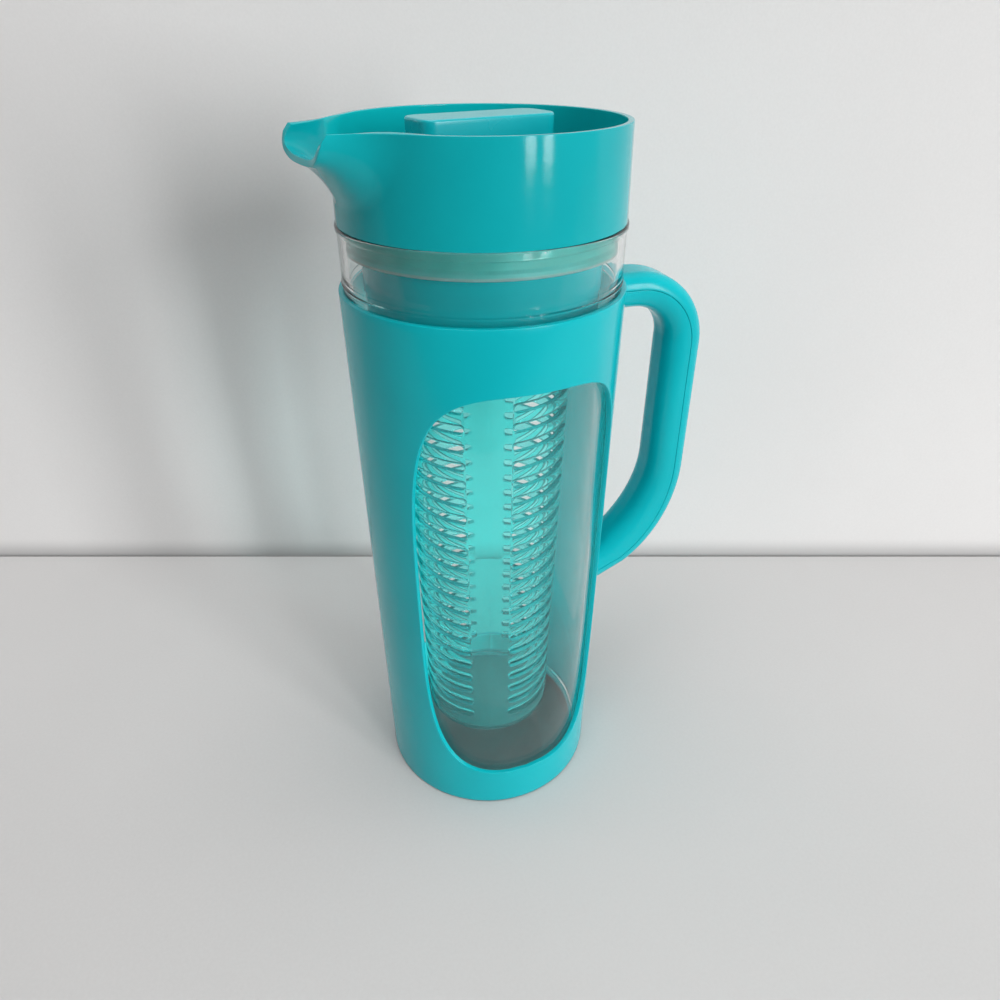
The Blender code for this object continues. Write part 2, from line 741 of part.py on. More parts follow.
def make_shutter_screw(parent):
    """Slotted screw that holds the shutter on the knob's shaft."""
    profile = [
        (0, head_top + SCREW_LENGTH),
        (SCREW_RADIUS, head_top + SCREW_LENGTH),
        (SCREW_RADIUS, head_top),
        (HEAD_RADIUS, head_top),
        (HEAD_RADIUS, head_top - HEAD_HEIGHT),
        (0, head_top - HEAD_HEIGHT),
    ]
    screw = turned("shutter_screw", profile, parent, steps=SMALL_TURN_STEPS)
    drive = bar(3 * HEAD_RADIUS, DRIVE_WIDTH, 0)
    low = head_top - HEAD_HEIGHT
    slot = prism("screw_drive", [(drive, low - CUT_MARGIN, low + HEAD_HEIGHT / 2)], parent, cutter=True)
    combine(screw, "DIFFERENCE", slot)
    finish(screw, STEEL, 0.3)


def make_infuser(parent):
    """Tinted clear basket with a column of slots down each side, hung in the lid by a bayonet collar."""
    top_bore = collar_radius - INFUSER_WALL
    inner_bottom = infuser_bottom + INFUSER_WALL
    profile = filleted([
        (0, inner_bottom, 0),
        (infuser_radius(inner_bottom) - INFUSER_WALL, inner_bottom, INFUSER_CORNER - INFUSER_WALL / 2),
        (INFUSER_RADIUS_TOP - INFUSER_WALL, shoulder, 0),
        (top_bore, skirt_bottom, 0),
        (top_bore, collar_top, 0),
        (collar_radius, collar_top, 0),
        (collar_radius, skirt_bottom, 0),
        (INFUSER_RADIUS_TOP, shoulder, 0),
        (infuser_radius(infuser_bottom), infuser_bottom, INFUSER_CORNER),
        (0, infuser_bottom, 0),
    ])
    infuser = turned("infuser", profile, parent, steps=INFUSER_STEPS)
    highest = shoulder - SLOT_MARGIN
    rows = 1 + int((highest - infuser_bottom - SLOT_MARGIN) / SLOT_PITCH)
    slots = []
    for row in range(rows):
        height = highest - row * SLOT_PITCH
        outer = infuser_radius(height) + CUT_MARGIN
        inner = infuser_radius(height) - INFUSER_WALL - CUT_MARGIN
        for middle in (0.0, math.pi):
            outline = sector(inner, outer, middle, SLOT_HALF_ANGLE)
            slots.append((outline, height - SLOT_HEIGHT / 2, height + SLOT_HEIGHT / 2))
    combine(infuser, "DIFFERENCE", prism("infuser_slots", slots, parent, cutter=True))
    lug_reach = skirt_bore - GAP
    lugs = [
        (sector(collar_radius - INFUSER_WALL / 2, lug_reach, math.tau * lug / LUG_COUNT - INFUSER_TURN,
                LUG_HALF_ANGLE), collar_lug_bottom, collar_lug_bottom + LUG_HEIGHT)
        for lug in range(LUG_COUNT)
    ]
    combine(infuser, "UNION", prism("collar_lugs", lugs, parent, cutter=True))
    finish(infuser, TINT, 0.06, opacity=0.5)


for old in list(bpy.data.objects):
    bpy.data.objects.remove(old)
pieces = bpy.data.collections.new("infusion_pitcher")
cutters = bpy.data.collections.new("cutters")
bpy.context.scene.collection.children.link(pieces)
bpy.context.scene.collection.children.link(cutters)

base_axis = axis("base_axis")
vessel_axis = axis("vessel_axis", base_axis)
lid_axis = axis("lid_axis", vessel_axis, LID_TURN)
knob_axis = axis("knob_axis", lid_axis)
infuser_axis = axis("infuser_axis", lid_axis, INFUSER_TURN)

make_sleeve(base_axis)
make_handle_cover(base_axis)
make_base_pad(base_axis)
make_vessel(vessel_axis)
make_lid(lid_axis)
make_lid_seal(lid_axis)
make_knob(knob_axis)
make_shaft_ring(knob_axis)
make_shutter(knob_axis)
make_shutter_screw(knob_axis)
make_infuser(infuser_axis)
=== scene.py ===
"""Infusion pitcher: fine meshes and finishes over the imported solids, and the table that it stands on.

Sizes are in millimetres in the part's own frame, +X along the handle.
Meshes are made in metres, and lengths in the finishes are in metres too.
"""

import math

import bmesh
import bpy
from mathutils import Matrix, Vector
from mathutils.bvhtree import BVHTree


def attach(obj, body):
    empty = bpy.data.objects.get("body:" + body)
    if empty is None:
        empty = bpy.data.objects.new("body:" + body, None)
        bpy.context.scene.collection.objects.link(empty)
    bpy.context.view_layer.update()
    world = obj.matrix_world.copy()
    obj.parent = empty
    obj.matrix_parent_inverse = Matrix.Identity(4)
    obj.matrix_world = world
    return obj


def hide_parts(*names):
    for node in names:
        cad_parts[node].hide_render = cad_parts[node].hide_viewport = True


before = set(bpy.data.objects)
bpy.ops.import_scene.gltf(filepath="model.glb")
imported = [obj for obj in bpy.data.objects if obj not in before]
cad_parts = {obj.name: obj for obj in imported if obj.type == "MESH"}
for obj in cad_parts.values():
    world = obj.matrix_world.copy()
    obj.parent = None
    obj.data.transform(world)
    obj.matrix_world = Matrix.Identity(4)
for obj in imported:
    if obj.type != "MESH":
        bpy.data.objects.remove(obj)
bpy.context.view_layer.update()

# Base pad
# A disc of grey rubber, moulded in one piece, with rings under it that grip the table.
# The groove round its edge snaps over the ledge inside the sleeve's foot.

MM = 0.001
SHARP_ANGLE = math.radians(38)


class Value:
    """A socket among a material's nodes. Sums and products of values add Math nodes."""

    def __init__(self, tree, socket=None):
        self.tree = tree
        self.socket = socket

    def node(self, kind, settings=None, inputs=None, output=0):
        """Add a node of a type, set it, then fill its inputs with numbers, colours or values."""
        made = self.tree.nodes.new("ShaderNode" + kind)
        for name, setting in (settings or {}).items():
            setattr(made, name, setting)
        for name, given in (inputs or {}).items():
            if isinstance(given, Value):
                self.tree.links.new(given.socket, made.inputs[name])
            else:
                made.inputs[name].default_value = given
        return Value(self.tree, made.outputs[output] if made.outputs else None)

    def maths(self, operation, first, second):
        """One sum, product or other Math node of two numbers or values."""
        return self.node("Math", {"operation": operation}, {0: first, 1: second})

    def __add__(self, other):
        return self.maths("ADD", self, other)

    def __radd__(self, other):
        return self.maths("ADD", other, self)

    def __sub__(self, other):
        return self.maths("SUBTRACT", self, other)

    def __rsub__(self, other):
        return self.maths("SUBTRACT", other, self)

    def __mul__(self, other):
        return self.maths("MULTIPLY", self, other)

    def over(self, low, high):
        """0 below one number and 1 above another, with a smooth step between them."""
        settings = {"interpolation_type": "SMOOTHSTEP"}
        return self.node("MapRange", settings, {"Value": self, "From Min": low, "From Max": high})

    def blend(self, first, second):
        """A colour that goes from one to another as this value goes from 0 to 1."""
        return self.node("Mix", {"data_type": "RGBA"}, {0: self, 6: first, 7: second}, output=2)

    def noise(self, scale, detail=2.0, stretch=None):
        """Cloudy noise laid on the piece's own coordinates, as a value about one half."""
        place = self.node("TexCoord", output=3)
        if stretch:
            place = self.node("Mapping", {}, {"Vector": place, "Scale": stretch})
        return self.node("TexNoise", {}, {"Vector": place, "Scale": scale, "Detail": detail})


def finish(name, **constants):
    """Start a material; the constants are set on its shader's own sockets."""
    material = bpy.data.materials.new(name)
    material.use_nodes = True
    shader = material.node_tree.nodes["Principled BSDF"]
    for socket, number in constants.items():
        shader.inputs[socket.replace("_", " ")].default_value = number
    return material, Value(material.node_tree), shader


def coat(build, shader, colour, roughness, relief, strength, distance):
    """Feed a shader its colour, its roughness and a bump."""
    bump = build.node("Bump", {}, {"Strength": strength, "Distance": distance, "Height": relief})
    for socket, value in (("Base Color", colour), ("Roughness", roughness), ("Normal", bump)):
        build.tree.links.new(value.socket, shader.inputs[socket])


def rounded(corners, closed=True, steps=6, brace=0.0):
    """Flat points through corners (across, up, radius), with an arc at each corner that has a radius.

    A brace adds a point near both ends of each straight stretch, so that its shading stays even.
    """
    arcs = []
    for index, (across, up, radius) in enumerate(corners):
        corner = Vector((across, up))
        at_end = not closed and index in (0, len(corners) - 1)
        if at_end or radius == 0:
            arcs.append([corner])
            continue
        back = (Vector(corners[index - 1][:2]) - corner).normalized()
        ahead = (Vector(corners[(index + 1) % len(corners)][:2]) - corner).normalized()
        half = back.angle(ahead) / 2
        centre = corner + (back + ahead).normalized() * radius / math.sin(half)
        first = corner + back * radius / math.tan(half) - centre
        last = corner + ahead * radius / math.tan(half) - centre
        start = math.atan2(first.y, first.x)
        sweep = math.remainder(math.atan2(last.y, last.x) - start, math.tau)
        turns = [start + sweep * step / steps for step in range(steps + 1)]
        arcs.append([centre + Vector((math.cos(turn), math.sin(turn))) * radius for turn in turns])
    points = []
    for index, arc in enumerate(arcs):
        points += arc
        if brace and (closed or index < len(arcs) - 1):
            after = arcs[(index + 1) % len(arcs)][0]
            share = min(1 / 3, brace / (after - arc[-1]).length)
            points += [arc[-1].lerp(after, share), after.lerp(arc[-1], share)]
    return points


def turned(built, outline, steps=160):
    """Turn an outline of (radius, height) about the axis, closed on itself or on the axis."""
    rows = []
    for radius, height in outline:
        if radius < 0.001:
            rows.append([built.verts.new((0, 0, height * MM))] * steps)
            continue
        turns = [math.tau * step / steps for step in range(steps)]
        spots = [(radius * math.cos(turn), radius * math.sin(turn), height) for turn in turns]
        rows.append([built.verts.new(Vector(spot) * MM) for spot in spots])
    pairs = list(zip(rows, rows[1:]))
    if outline[0][0] > 0.001 and outline[-1][0] > 0.001:
        pairs.append((rows[-1], rows[0]))
    for near, far in pairs:
        for step in range(steps):
            after = (step + 1) % steps
            corners = dict.fromkeys((near[step], near[after], far[after], far[step]))
            built.faces.new(list(corners))


def placed(name, data):
    """Put a mesh, a light or a camera in the scene as an object."""
    item = bpy.data.objects.new(name, data)
    bpy.context.scene.collection.objects.link(item)
    return item


def piece(name, built, material):
    """Make an object of a mesh under way, smooth but for its crisp edges, in its finish."""
    bmesh.ops.recalc_face_normals(built, faces=built.faces)
    mesh = bpy.data.meshes.new(name)
    built.to_mesh(mesh)
    built.free()
    mesh.shade_smooth()
    mesh.set_sharp_from_angle(angle=SHARP_ANGLE)
    mesh.materials.append(material)
    return placed(name, mesh)


PAD_FLANGE = 46.3
PAD_WAIST = 44.2
PAD_TOP = 4.6
PAD_GROOVE_TOP = 3.6
PAD_GROOVE_BOTTOM = 1.2
GRIP_RINGS = (42.0, 36.0, 30.0, 24.0)
GRIP_RING_WIDTH = 2.0
GRIP_RING_DEPTH = 0.5
GRIP_RING_EDGE = 0.15

pad_corners = [
    (0, PAD_TOP, 0),
    (PAD_FLANGE, PAD_TOP, 0.3),
    (PAD_FLANGE, PAD_GROOVE_TOP, 0.3),
    (PAD_WAIST, PAD_GROOVE_TOP, 0.2),
    (PAD_WAIST, PAD_GROOVE_BOTTOM, 0.2),
    (PAD_FLANGE, PAD_GROOVE_BOTTOM, 0.2),
    (PAD_FLANGE, 0, 0.5),
]
for ring in GRIP_RINGS:
    pad_corners += [
        (ring, 0, GRIP_RING_EDGE),
        (ring, GRIP_RING_DEPTH, GRIP_RING_EDGE),
        (ring - GRIP_RING_WIDTH, GRIP_RING_DEPTH, GRIP_RING_EDGE),
        (ring - GRIP_RING_WIDTH, 0, GRIP_RING_EDGE),
    ]
pad_corners.append((0, 0, 0))

rubber, build, shader = finish("pad_rubber", Specular_IOR_Level=0.35)
cloud = build.noise(60, 3)
grain = build.noise(2600, 2)
colour = cloud.over(0.35, 0.65).blend((0.082, 0.108, 0.107, 1), (0.104, 0.134, 0.132, 1))
coat(build, shader, colour, 0.55 + cloud * 0.2, grain, 0.25, 0.0003)

mesh = bmesh.new()
turned(mesh, rounded(pad_corners, closed=False, steps=3))
pad = piece("grooved_pad", mesh, rubber)
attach(pad, "base")
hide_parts("base_pad")

# Sleeve
# A tapered tube of gloss teal plastic with a tall window in each side, moulded in one piece with its
# grip. A ledge inside its foot takes the pad, and the vessel stands on that.

SLEEVE_HEIGHT = 240.0
SLEEVE_RADIUS_TOP = 53.25
SLEEVE_RADIUS_BOTTOM = 50.4
SLEEVE_WALL = 2.0
SLEEVE_EDGE = 0.75
FOOT_LIFT = 0.6
WINDOW_FROM_HANDLE = 84.5
WINDOW_HALF_ANGLE = 54.0
WINDOW_TOP = 216.2
WINDOW_BOTTOM = 21.0
WINDOW_ROUNDNESS = 3.7
WINDOW_STEPS = 128
WINDOW_RIM_TURN = 5.0
WINDOW_RIM_RISE = 9.0
WINDOW_BANDS = (0.0, 0.07, 0.2, 0.45, 0.72, 1.0)
LEDGE_BORE = 44.5
LEDGE_STEP = 46.6
LEDGE_ROOT = 49.2
LEDGE_TOP = 3.3
LEDGE_UNDERSIDE = 1.5
LEDGE_BOTTOM = 0.9


def sleeve_radius(height):
    """Outer radius of the sleeve at a height."""
    return SLEEVE_RADIUS_BOTTOM + (SLEEVE_RADIUS_TOP - SLEEVE_RADIUS_BOTTOM) * height / SLEEVE_HEIGHT


def window_spots(middle):
    """Rings of (angle, height) in degrees and millimetres, from a window's edge out to a square frame."""
    half_height = (WINDOW_TOP - WINDOW_BOTTOM) / 2
    centre = (WINDOW_TOP + WINDOW_BOTTOM) / 2
    rings = [[] for band in WINDOW_BANDS]
    for step in range(WINDOW_STEPS):
        turn = math.tau * step / WINDOW_STEPS
        across, up = math.cos(turn), math.sin(turn)
        edge_across = math.copysign(abs(across) ** (2 / WINDOW_ROUNDNESS), across) * WINDOW_HALF_ANGLE
        edge_up = math.copysign(abs(up) ** (2 / WINDOW_ROUNDNESS), up) * half_height
        square = max(abs(across), abs(up))
        frame_across = across / square * (WINDOW_HALF_ANGLE + WINDOW_RIM_TURN)
        frame_up = up / square * (half_height + WINDOW_RIM_RISE)
        for ring, share in zip(rings, WINDOW_BANDS):
            angle = edge_across + (frame_across - edge_across) * share
            height = edge_up + (frame_up - edge_up) * share
            ring.append((middle + angle, centre + height))
    return rings


def spread(start, end, steps):
    """Even steps from one number to another."""
    return [start + (end - start) * step / steps for step in range(steps + 1)]


def worked(name, built):
    """Turn a mesh under way into a passing object, for a modifier to work on."""
    mesh = bpy.data.meshes.new(name)
    built.to_mesh(mesh)
    built.free()
    return placed(name, mesh)


def settled(*items):
    """Apply the first object's modifiers and give back its mesh under way; the objects are removed."""
    graph = bpy.context.evaluated_depsgraph_get()
    mesh = bpy.data.meshes.new_from_object(items[0].evaluated_get(graph))
    built = bmesh.new()
    built.from_mesh(mesh)
    bpy.data.meshes.remove(mesh)
    for item in items:
        bpy.data.meshes.remove(item.data)
    return built


def thickened(sheet, wall, edge, steps=3):
    """Give a sheet its wall, inwards, and round its edges."""
    item = worked("sheet", sheet)
    solid = item.modifiers.new("Wall", "SOLIDIFY")
    solid.thickness = wall * MM
    solid.offset = -1
    solid.use_even_offset = True
    bevel = item.modifiers.new("Edge", "BEVEL")
    bevel.width = edge * MM
    bevel.segments = steps
    bevel.limit_method = "ANGLE"
    bevel.angle_limit = math.radians(50)
    return settled(item)


def sleeve_sheet():
    """The sleeve's outer face, with its windows left open."""
    built = bmesh.new()
    spots = {}

    def spot(angle, height):
        key = (round(angle % 360, 3) % 360, round(height, 3))
        if key not in spots:
            turn = math.radians(angle)
            radius = sleeve_radius(height)
            place = Vector((radius * math.cos(turn), radius * math.sin(turn), height))
            spots[key] = built.verts.new(place * MM)
        return spots[key]

    windows = [window_spots(WINDOW_FROM_HANDLE), window_spots(-WINDOW_FROM_HANDLE)]
    for rings in windows:
        for near, far in zip(rings, rings[1:]):
            for step in range(WINDOW_STEPS):
                after = (step + 1) % WINDOW_STEPS
                corners = (near[step], far[step], far[after], near[after])
                built.faces.new([spot(*corner) for corner in corners])
    half_turn = WINDOW_HALF_ANGLE + WINDOW_RIM_TURN
    low = WINDOW_BOTTOM - WINDOW_RIM_RISE
    high = WINDOW_TOP + WINDOW_RIM_RISE
    heights = spread(FOOT_LIFT, low, 4) + spread(high, SLEEVE_HEIGHT, 5)
    heights += [height for angle, height in windows[0][-1]]
    heights = sorted({round(height, 3) for height in heights})
    angles = set(spread(half_turn - WINDOW_FROM_HANDLE, WINDOW_FROM_HANDLE - half_turn, 14))
    angles |= set(spread(WINDOW_FROM_HANDLE + half_turn, 360 - WINDOW_FROM_HANDLE - half_turn, 18))
    for rings in windows:
        angles |= {angle for angle, height in rings[-1]}
    angles = sorted({round(angle % 360, 3) % 360 for angle in angles})
    for first, last in zip(angles, angles[1:] + [angles[0] + 360]):
        middle = (first + last) / 2
        gap = min(abs((middle - side * WINDOW_FROM_HANDLE + 180) % 360 - 180) for side in (-1, 1))
        for bottom, top in zip(heights, heights[1:]):
            if gap < half_turn and low < (bottom + top) / 2 < high:
                continue
            built.faces.new([spot(first, bottom), spot(last, bottom), spot(last, top), spot(first, top)])
    return built


TEAL = (0.003, 0.47, 0.525, 1)
TEAL_DEEP = (0.002, 0.44, 0.495, 1)
# Painted glow: a paler teal for the sleeve's inner faces, standing in for light that comes through its wall
TEAL_PAINTED_GLOW = (0.08, 0.90, 0.93, 1)


def gloss_plastic(name, light, deep, roughness, inner=None):
    """Moulded teal plastic: faint clouds of pigment, smudges in its gloss, and a slight orange peel.

    A paler inner colour, a painted glow, goes on the faces that look at the axis; it stands in for light
    that glows through the thin wall.
    """
    material, build, shader = finish(name, Specular_IOR_Level=0.2)
    cloud = build.noise(22, 4)
    fleck = build.noise(3200, 1)
    smudge = build.noise(70, 5)
    scuff = build.noise(420, 4, stretch=(1, 1, 0.05)).over(0.66, 0.74)
    peel = build.noise(330, 1)
    tone = (cloud * 0.75 + fleck * 0.25).over(0.35, 0.65)
    gloss = roughness + (smudge - 0.5) * 0.10 + scuff * 0.06
    colour = tone.blend(deep, light)
    # Painted glow: faces that look at the axis take the paler inner colour, in place of light through the
    # wall
    if inner:
        spot = build.node("TexCoord", output=3)
        level = build.node("VectorMath", {"operation": "MULTIPLY"}, {0: spot, 1: (1, 1, 0)})
        reach = build.node("VectorMath", {"operation": "LENGTH"}, {0: level}, output=1)
        normal = build.node("TexCoord", output=1)
        facing = build.node("VectorMath", {"operation": "DOT_PRODUCT"}, {0: level, 1: normal}, output=1)
        inside = (1 - reach.over(0.0515, 0.0523)) * (1 - facing.over(-0.03, -0.01))
        colour = inside.blend(colour, inner)
    coat(build, shader, colour, gloss, peel + fleck * 0.2, 0.06, 0.0004)
    return material


sleeve_plastic = gloss_plastic("sleeve_plastic", TEAL, TEAL_DEEP, 0.17, inner=TEAL_PAINTED_GLOW)

mesh = thickened(sleeve_sheet(), SLEEVE_WALL, SLEEVE_EDGE)
ledge = [
    (LEDGE_BORE, LEDGE_TOP, 0.3),
    (LEDGE_ROOT, LEDGE_TOP, 0),
    (LEDGE_ROOT, LEDGE_BOTTOM, 0),
    (LEDGE_STEP, LEDGE_BOTTOM, 0.2),
    (LEDGE_STEP, LEDGE_UNDERSIDE, 0),
    (LEDGE_BORE, LEDGE_UNDERSIDE, 0.3),
]
turned(mesh, rounded(ledge, steps=2))

# Grip
# The handle is a U-shaped channel moulded on the sleeve, open along its outside.
# It leaves the rim level, bends down the grip, and comes back to the sleeve at a slope.

HANDLE_WIDTH = 21.0
HANDLE_DEPTH_TOP = 14.2
HANDLE_DEPTH_LOW = 14.7
HANDLE_SWELL = 4.2
HANDLE_CORNER = 7.6
HANDLE_WALL = 2.6
HANDLE_REACH = 84.2
HANDLE_TOP = 232.9
HANDLE_DROP = 113.8
HANDLE_LOW_SLOPE = math.radians(30)
HANDLE_TOP_BEND = 23.0
HANDLE_LOW_BEND = 60.0
COVER_DEPTH = 6.0
COVER_RIB = 3.0
SEAM = 0.14
SEAM_EDGE = 0.2
BEND_STEPS = 20
SWELL_PARTS = 19
STATION = 7.0
ROOT_FILLET = 1.6
ROOT_STEPS = (-0.8, 0.0, 0.12, 0.4, 0.9, 1.6)
ROOT_SEARCH = 80.0
RING_REACH = 10
RING_CLEARANCE = 3


def handle_stations():
    """Points along the handle's middle line, each with its place in the swell, from the top end down.

    Of the swell's parts, each straight stretch takes one, and each of the two bends takes eight.
    """
    low = HANDLE_TOP - HANDLE_DROP
    corners = [
        (0, HANDLE_TOP, 0),
        (HANDLE_REACH, HANDLE_TOP, HANDLE_TOP_BEND),
        (HANDLE_REACH, low, HANDLE_LOW_BEND),
        (0, low - HANDLE_REACH * math.tan(HANDLE_LOW_SLOPE), 0),
    ]
    points = rounded(corners, closed=False, steps=BEND_STEPS)
    shares = [0.0]
    shares += spread(1 / SWELL_PARTS, 9 / SWELL_PARTS, BEND_STEPS)
    shares += spread(10 / SWELL_PARTS, 18 / SWELL_PARTS, BEND_STEPS)
    shares.append(1.0)
    stations = []
    for index in range(len(points) - 1):
        pieces = max(1, round((points[index + 1] - points[index]).length / STATION))
        for step in range(pieces):
            point = points[index].lerp(points[index + 1], step / pieces)
            share = shares[index] + (shares[index + 1] - shares[index]) * step / pieces
            stations.append((point, share))
    stations.append((points[-1], 1.0))
    return stations


def handle_depth(share):
    """Depth of the handle at a place along it."""
    depth = HANDLE_DEPTH_TOP + (HANDLE_DEPTH_LOW - HANDLE_DEPTH_TOP) * share
    return depth + HANDLE_SWELL * math.sin(math.pi * share ** 3)


def on_sleeve(point, side, along, gap):
    """Move a point along the handle until it is a gap away from the sleeve's face."""
    near, far = -ROOT_SEARCH, ROOT_SEARCH
    for step in range(40):
        middle = (near + far) / 2
        spot = point + along * middle
        if math.hypot(spot.x, side) - sleeve_radius(spot.y) < gap:
            near = middle
        else:
            far = middle
    return point + along * near


def handle_rings(section, gaps):
    """Rings of the handle between its two roots; section gives (outward, sideways) points for a depth."""
    stations = handle_stations()
    ends = []
    for index, inner in ((0, 1), (len(stations) - 1, len(stations) - 2)):
        along = (stations[inner][0] - stations[index][0]).normalized()
        facing = along if index == 0 else -along
        outward = Vector((-facing.y, facing.x))
        rings = []
        for gap in gaps:
            short = min(ROOT_FILLET, max(0.0, ROOT_FILLET - gap))
            grow = ROOT_FILLET - math.sqrt(max(0.0, ROOT_FILLET ** 2 - short ** 2))
            ring = []
            for out, side in section(handle_depth(stations[index][1]), grow):
                spot = on_sleeve(stations[index][0] + outward * out, side, along, gap)
                ring.append(Vector((spot.x, side, spot.y)) * MM)
            rings.append(ring)
        ends.append(rings)
    middle = []
    for index in range(1, len(stations) - 1):
        point, share = stations[index]
        ahead = stations[index + 1][0] - stations[index - 1][0]
        outward = Vector((-ahead.y, ahead.x)).normalized()
        nearest = min(point.x + outward.x * out for out in (-RING_REACH, RING_REACH))
        if nearest < sleeve_radius(point.y) + RING_CLEARANCE:
            continue
        ring = []
        for out, side in section(handle_depth(share), 0.0):
            spot = point + outward * out
            ring.append(Vector((spot.x, side, spot.y)) * MM)
        middle.append(ring)
    return ends[0] + middle + ends[1][::-1]


def loft(built, rings):
    """Skin a run of rings into one closed body."""
    rows = [[built.verts.new(point) for point in ring] for ring in rings]
    count = len(rows[0])
    for near, far in zip(rows, rows[1:]):
        for index in range(count):
            after = (index + 1) % count
            built.faces.new((near[index], near[after], far[after], far[index]))
    built.faces.new(rows[0])
    built.faces.new(rows[-1])


def channel_section(depth, grow):
    """The grip's U, which flares where it meets the sleeve."""
    half = HANDLE_WIDTH / 2 + grow
    back = -depth / 2 - grow
    seam = depth / 2 - COVER_DEPTH
    inner = HANDLE_WIDTH / 2 - HANDLE_WALL
    floor = -depth / 2 + HANDLE_WALL
    inner_corner = HANDLE_CORNER - HANDLE_WALL
    return rounded([
        (seam, -half, SEAM_EDGE),
        (back, -half, HANDLE_CORNER),
        (back, half, HANDLE_CORNER),
        (seam, half, SEAM_EDGE),
        (seam, inner, SEAM_EDGE),
        (floor, inner, inner_corner),
        (floor, -inner, inner_corner),
        (seam, -inner, SEAM_EDGE),
    ], steps=7, brace=0.6)


loft(mesh, handle_rings(channel_section, ROOT_STEPS))
sleeve = piece("moulded_sleeve", mesh, sleeve_plastic)
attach(sleeve, "base")
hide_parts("sleeve")

# Grip cover
# A strip of the same plastic that snaps into the open side of the grip.
# A rib under it sits between the channel's walls, and a fine seam is left along both sides.


def cover_section(depth, grow):
    """The cover's rounded outside and its rib."""
    half = HANDLE_WIDTH / 2 + grow
    seam = depth / 2 - COVER_DEPTH + SEAM
    rib = HANDLE_WIDTH / 2 - HANDLE_WALL - SEAM
    corner = COVER_DEPTH - 2 * SEAM - SEAM_EDGE
    return rounded([
        (seam, half, SEAM_EDGE),
        (depth / 2, half, corner),
        (depth / 2, -half, corner),
        (seam, -half, SEAM_EDGE),
        (seam, -rib, 0),
        (seam - SEAM - COVER_RIB, -rib, 0),
        (seam - SEAM - COVER_RIB, rib, 0),
        (seam, rib, 0),
    ], steps=7, brace=0.6)


mesh = bmesh.new()
loft(mesh, handle_rings(cover_section, ROOT_STEPS[2:]))
cover = piece("grip_cover", mesh, gloss_plastic("cover_plastic", TEAL, TEAL_DEEP, 0.19))
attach(cover, "base")
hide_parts("handle_cover")

# Vessel
# The jug itself, of clear plastic, with a beaded rim and a neck that stands above the sleeve.
# It drops into the sleeve, rests on the pad, and lifts out for washing.

VESSEL_BORE_LOW = 45.69
VESSEL_BORE_HIGH = 48.4
BORE_BEND_LOW = 233.0
BORE_BEND_HIGH = 246.12
VESSEL_RADIUS_LOW = 48.05
VESSEL_RADIUS_HIGH = 50.85
NECK_BORE = 49.25
NECK_RADIUS = 51.65
NECK_BOTTOM = 240.12
VESSEL_RIM = 263.18
VESSEL_FLOOR = 7.9
VESSEL_BOTTOM = 4.9
BEAD_REACH = 0.55
BEAD_HEIGHT = 2.5
RIDGE_HEIGHT = 242.9
RIDGE_REACH = 0.3
RIDGE_HALF = 0.5


def clear_plastic(name, tint, film, bend, clarity, roughness, ripple, edge=None):
    """Clear moulded plastic that bends the light, and that lets light through to what is behind it.

    The film is the colour of the light that passes. An edge colour goes on the faces that don't look
    along a radius, where one sees deep into the wall.
    """
    material, build, shader = finish(name, IOR=bend, Transmission_Weight=clarity)
    flow = build.noise(ripple, 2)
    haze = build.noise(55, 4)
    colour = haze.over(0.3, 0.7).blend(tint, tuple(0.97 * part for part in tint[:3]) + (1,))
    if edge:
        spot = build.node("TexCoord", output=3)
        level = build.node("VectorMath", {"operation": "MULTIPLY"}, {0: spot, 1: (1, 1, 0)})
        radial = build.node("VectorMath", {"operation": "NORMALIZE"}, {0: level})
        normal = build.node("TexCoord", output=1)
        facing = build.node("VectorMath", {"operation": "DOT_PRODUCT"}, {0: radial, 1: normal}, output=1)
        squarely = build.node("Math", {"operation": "ABSOLUTE"}, {0: facing})
        colour = squarely.over(0.35, 0.85).blend(edge, colour)
    coat(build, shader, colour, roughness + haze.over(0.5, 0.8) * 0.02, flow, 0.05, 0.0006)
    path = build.node("LightPath", output=1)
    soft = build.node("LightPath", output=2)
    passing = build.maths("MAXIMUM", path, soft)
    clear = build.node("BsdfTransparent", {}, {"Color": film})
    body = Value(build.tree, shader.outputs[0])
    mixed = build.node("MixShader", {}, {0: passing, 1: body, 2: clear})
    build.tree.links.new(mixed.socket, build.tree.nodes["Material Output"].inputs["Surface"])
    return material


vessel_corners = [
    (0, VESSEL_FLOOR, 0),
    (VESSEL_BORE_LOW, VESSEL_FLOOR, 6),
    (VESSEL_BORE_HIGH, BORE_BEND_LOW, 5),
    (NECK_BORE, BORE_BEND_HIGH, 5),
    (NECK_BORE, VESSEL_RIM, 0.6),
    (NECK_RADIUS + BEAD_REACH, VESSEL_RIM, 0.6),
    (NECK_RADIUS + BEAD_REACH, VESSEL_RIM - BEAD_HEIGHT + BEAD_REACH, 0.6),
    (NECK_RADIUS, VESSEL_RIM - BEAD_HEIGHT, 0.4),
    (NECK_RADIUS, RIDGE_HEIGHT + RIDGE_HALF, 0.2),
    (NECK_RADIUS + RIDGE_REACH, RIDGE_HEIGHT, 0.25),
    (NECK_RADIUS, RIDGE_HEIGHT - RIDGE_HALF, 0.2),
    (NECK_RADIUS, NECK_BOTTOM, 0.2),
    (VESSEL_RADIUS_HIGH, NECK_BOTTOM, 0.2),
    (VESSEL_RADIUS_LOW, VESSEL_BOTTOM, 3),
    (0, VESSEL_BOTTOM, 0),
]
VESSEL_TINT = (0.985, 0.995, 0.99, 1)
VESSEL_FILM = (0.98, 0.985, 0.985, 1)
vessel_plastic = clear_plastic(
    "vessel_plastic", VESSEL_TINT, VESSEL_FILM, bend=1.34, clarity=1.0, roughness=0.012, ripple=30)
mesh = bmesh.new()
turned(mesh, rounded(vessel_corners, closed=False, steps=5, brace=0.3), steps=192)
vessel = piece("clear_vessel", mesh, vessel_plastic)
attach(vessel, "vessel")
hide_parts("vessel")

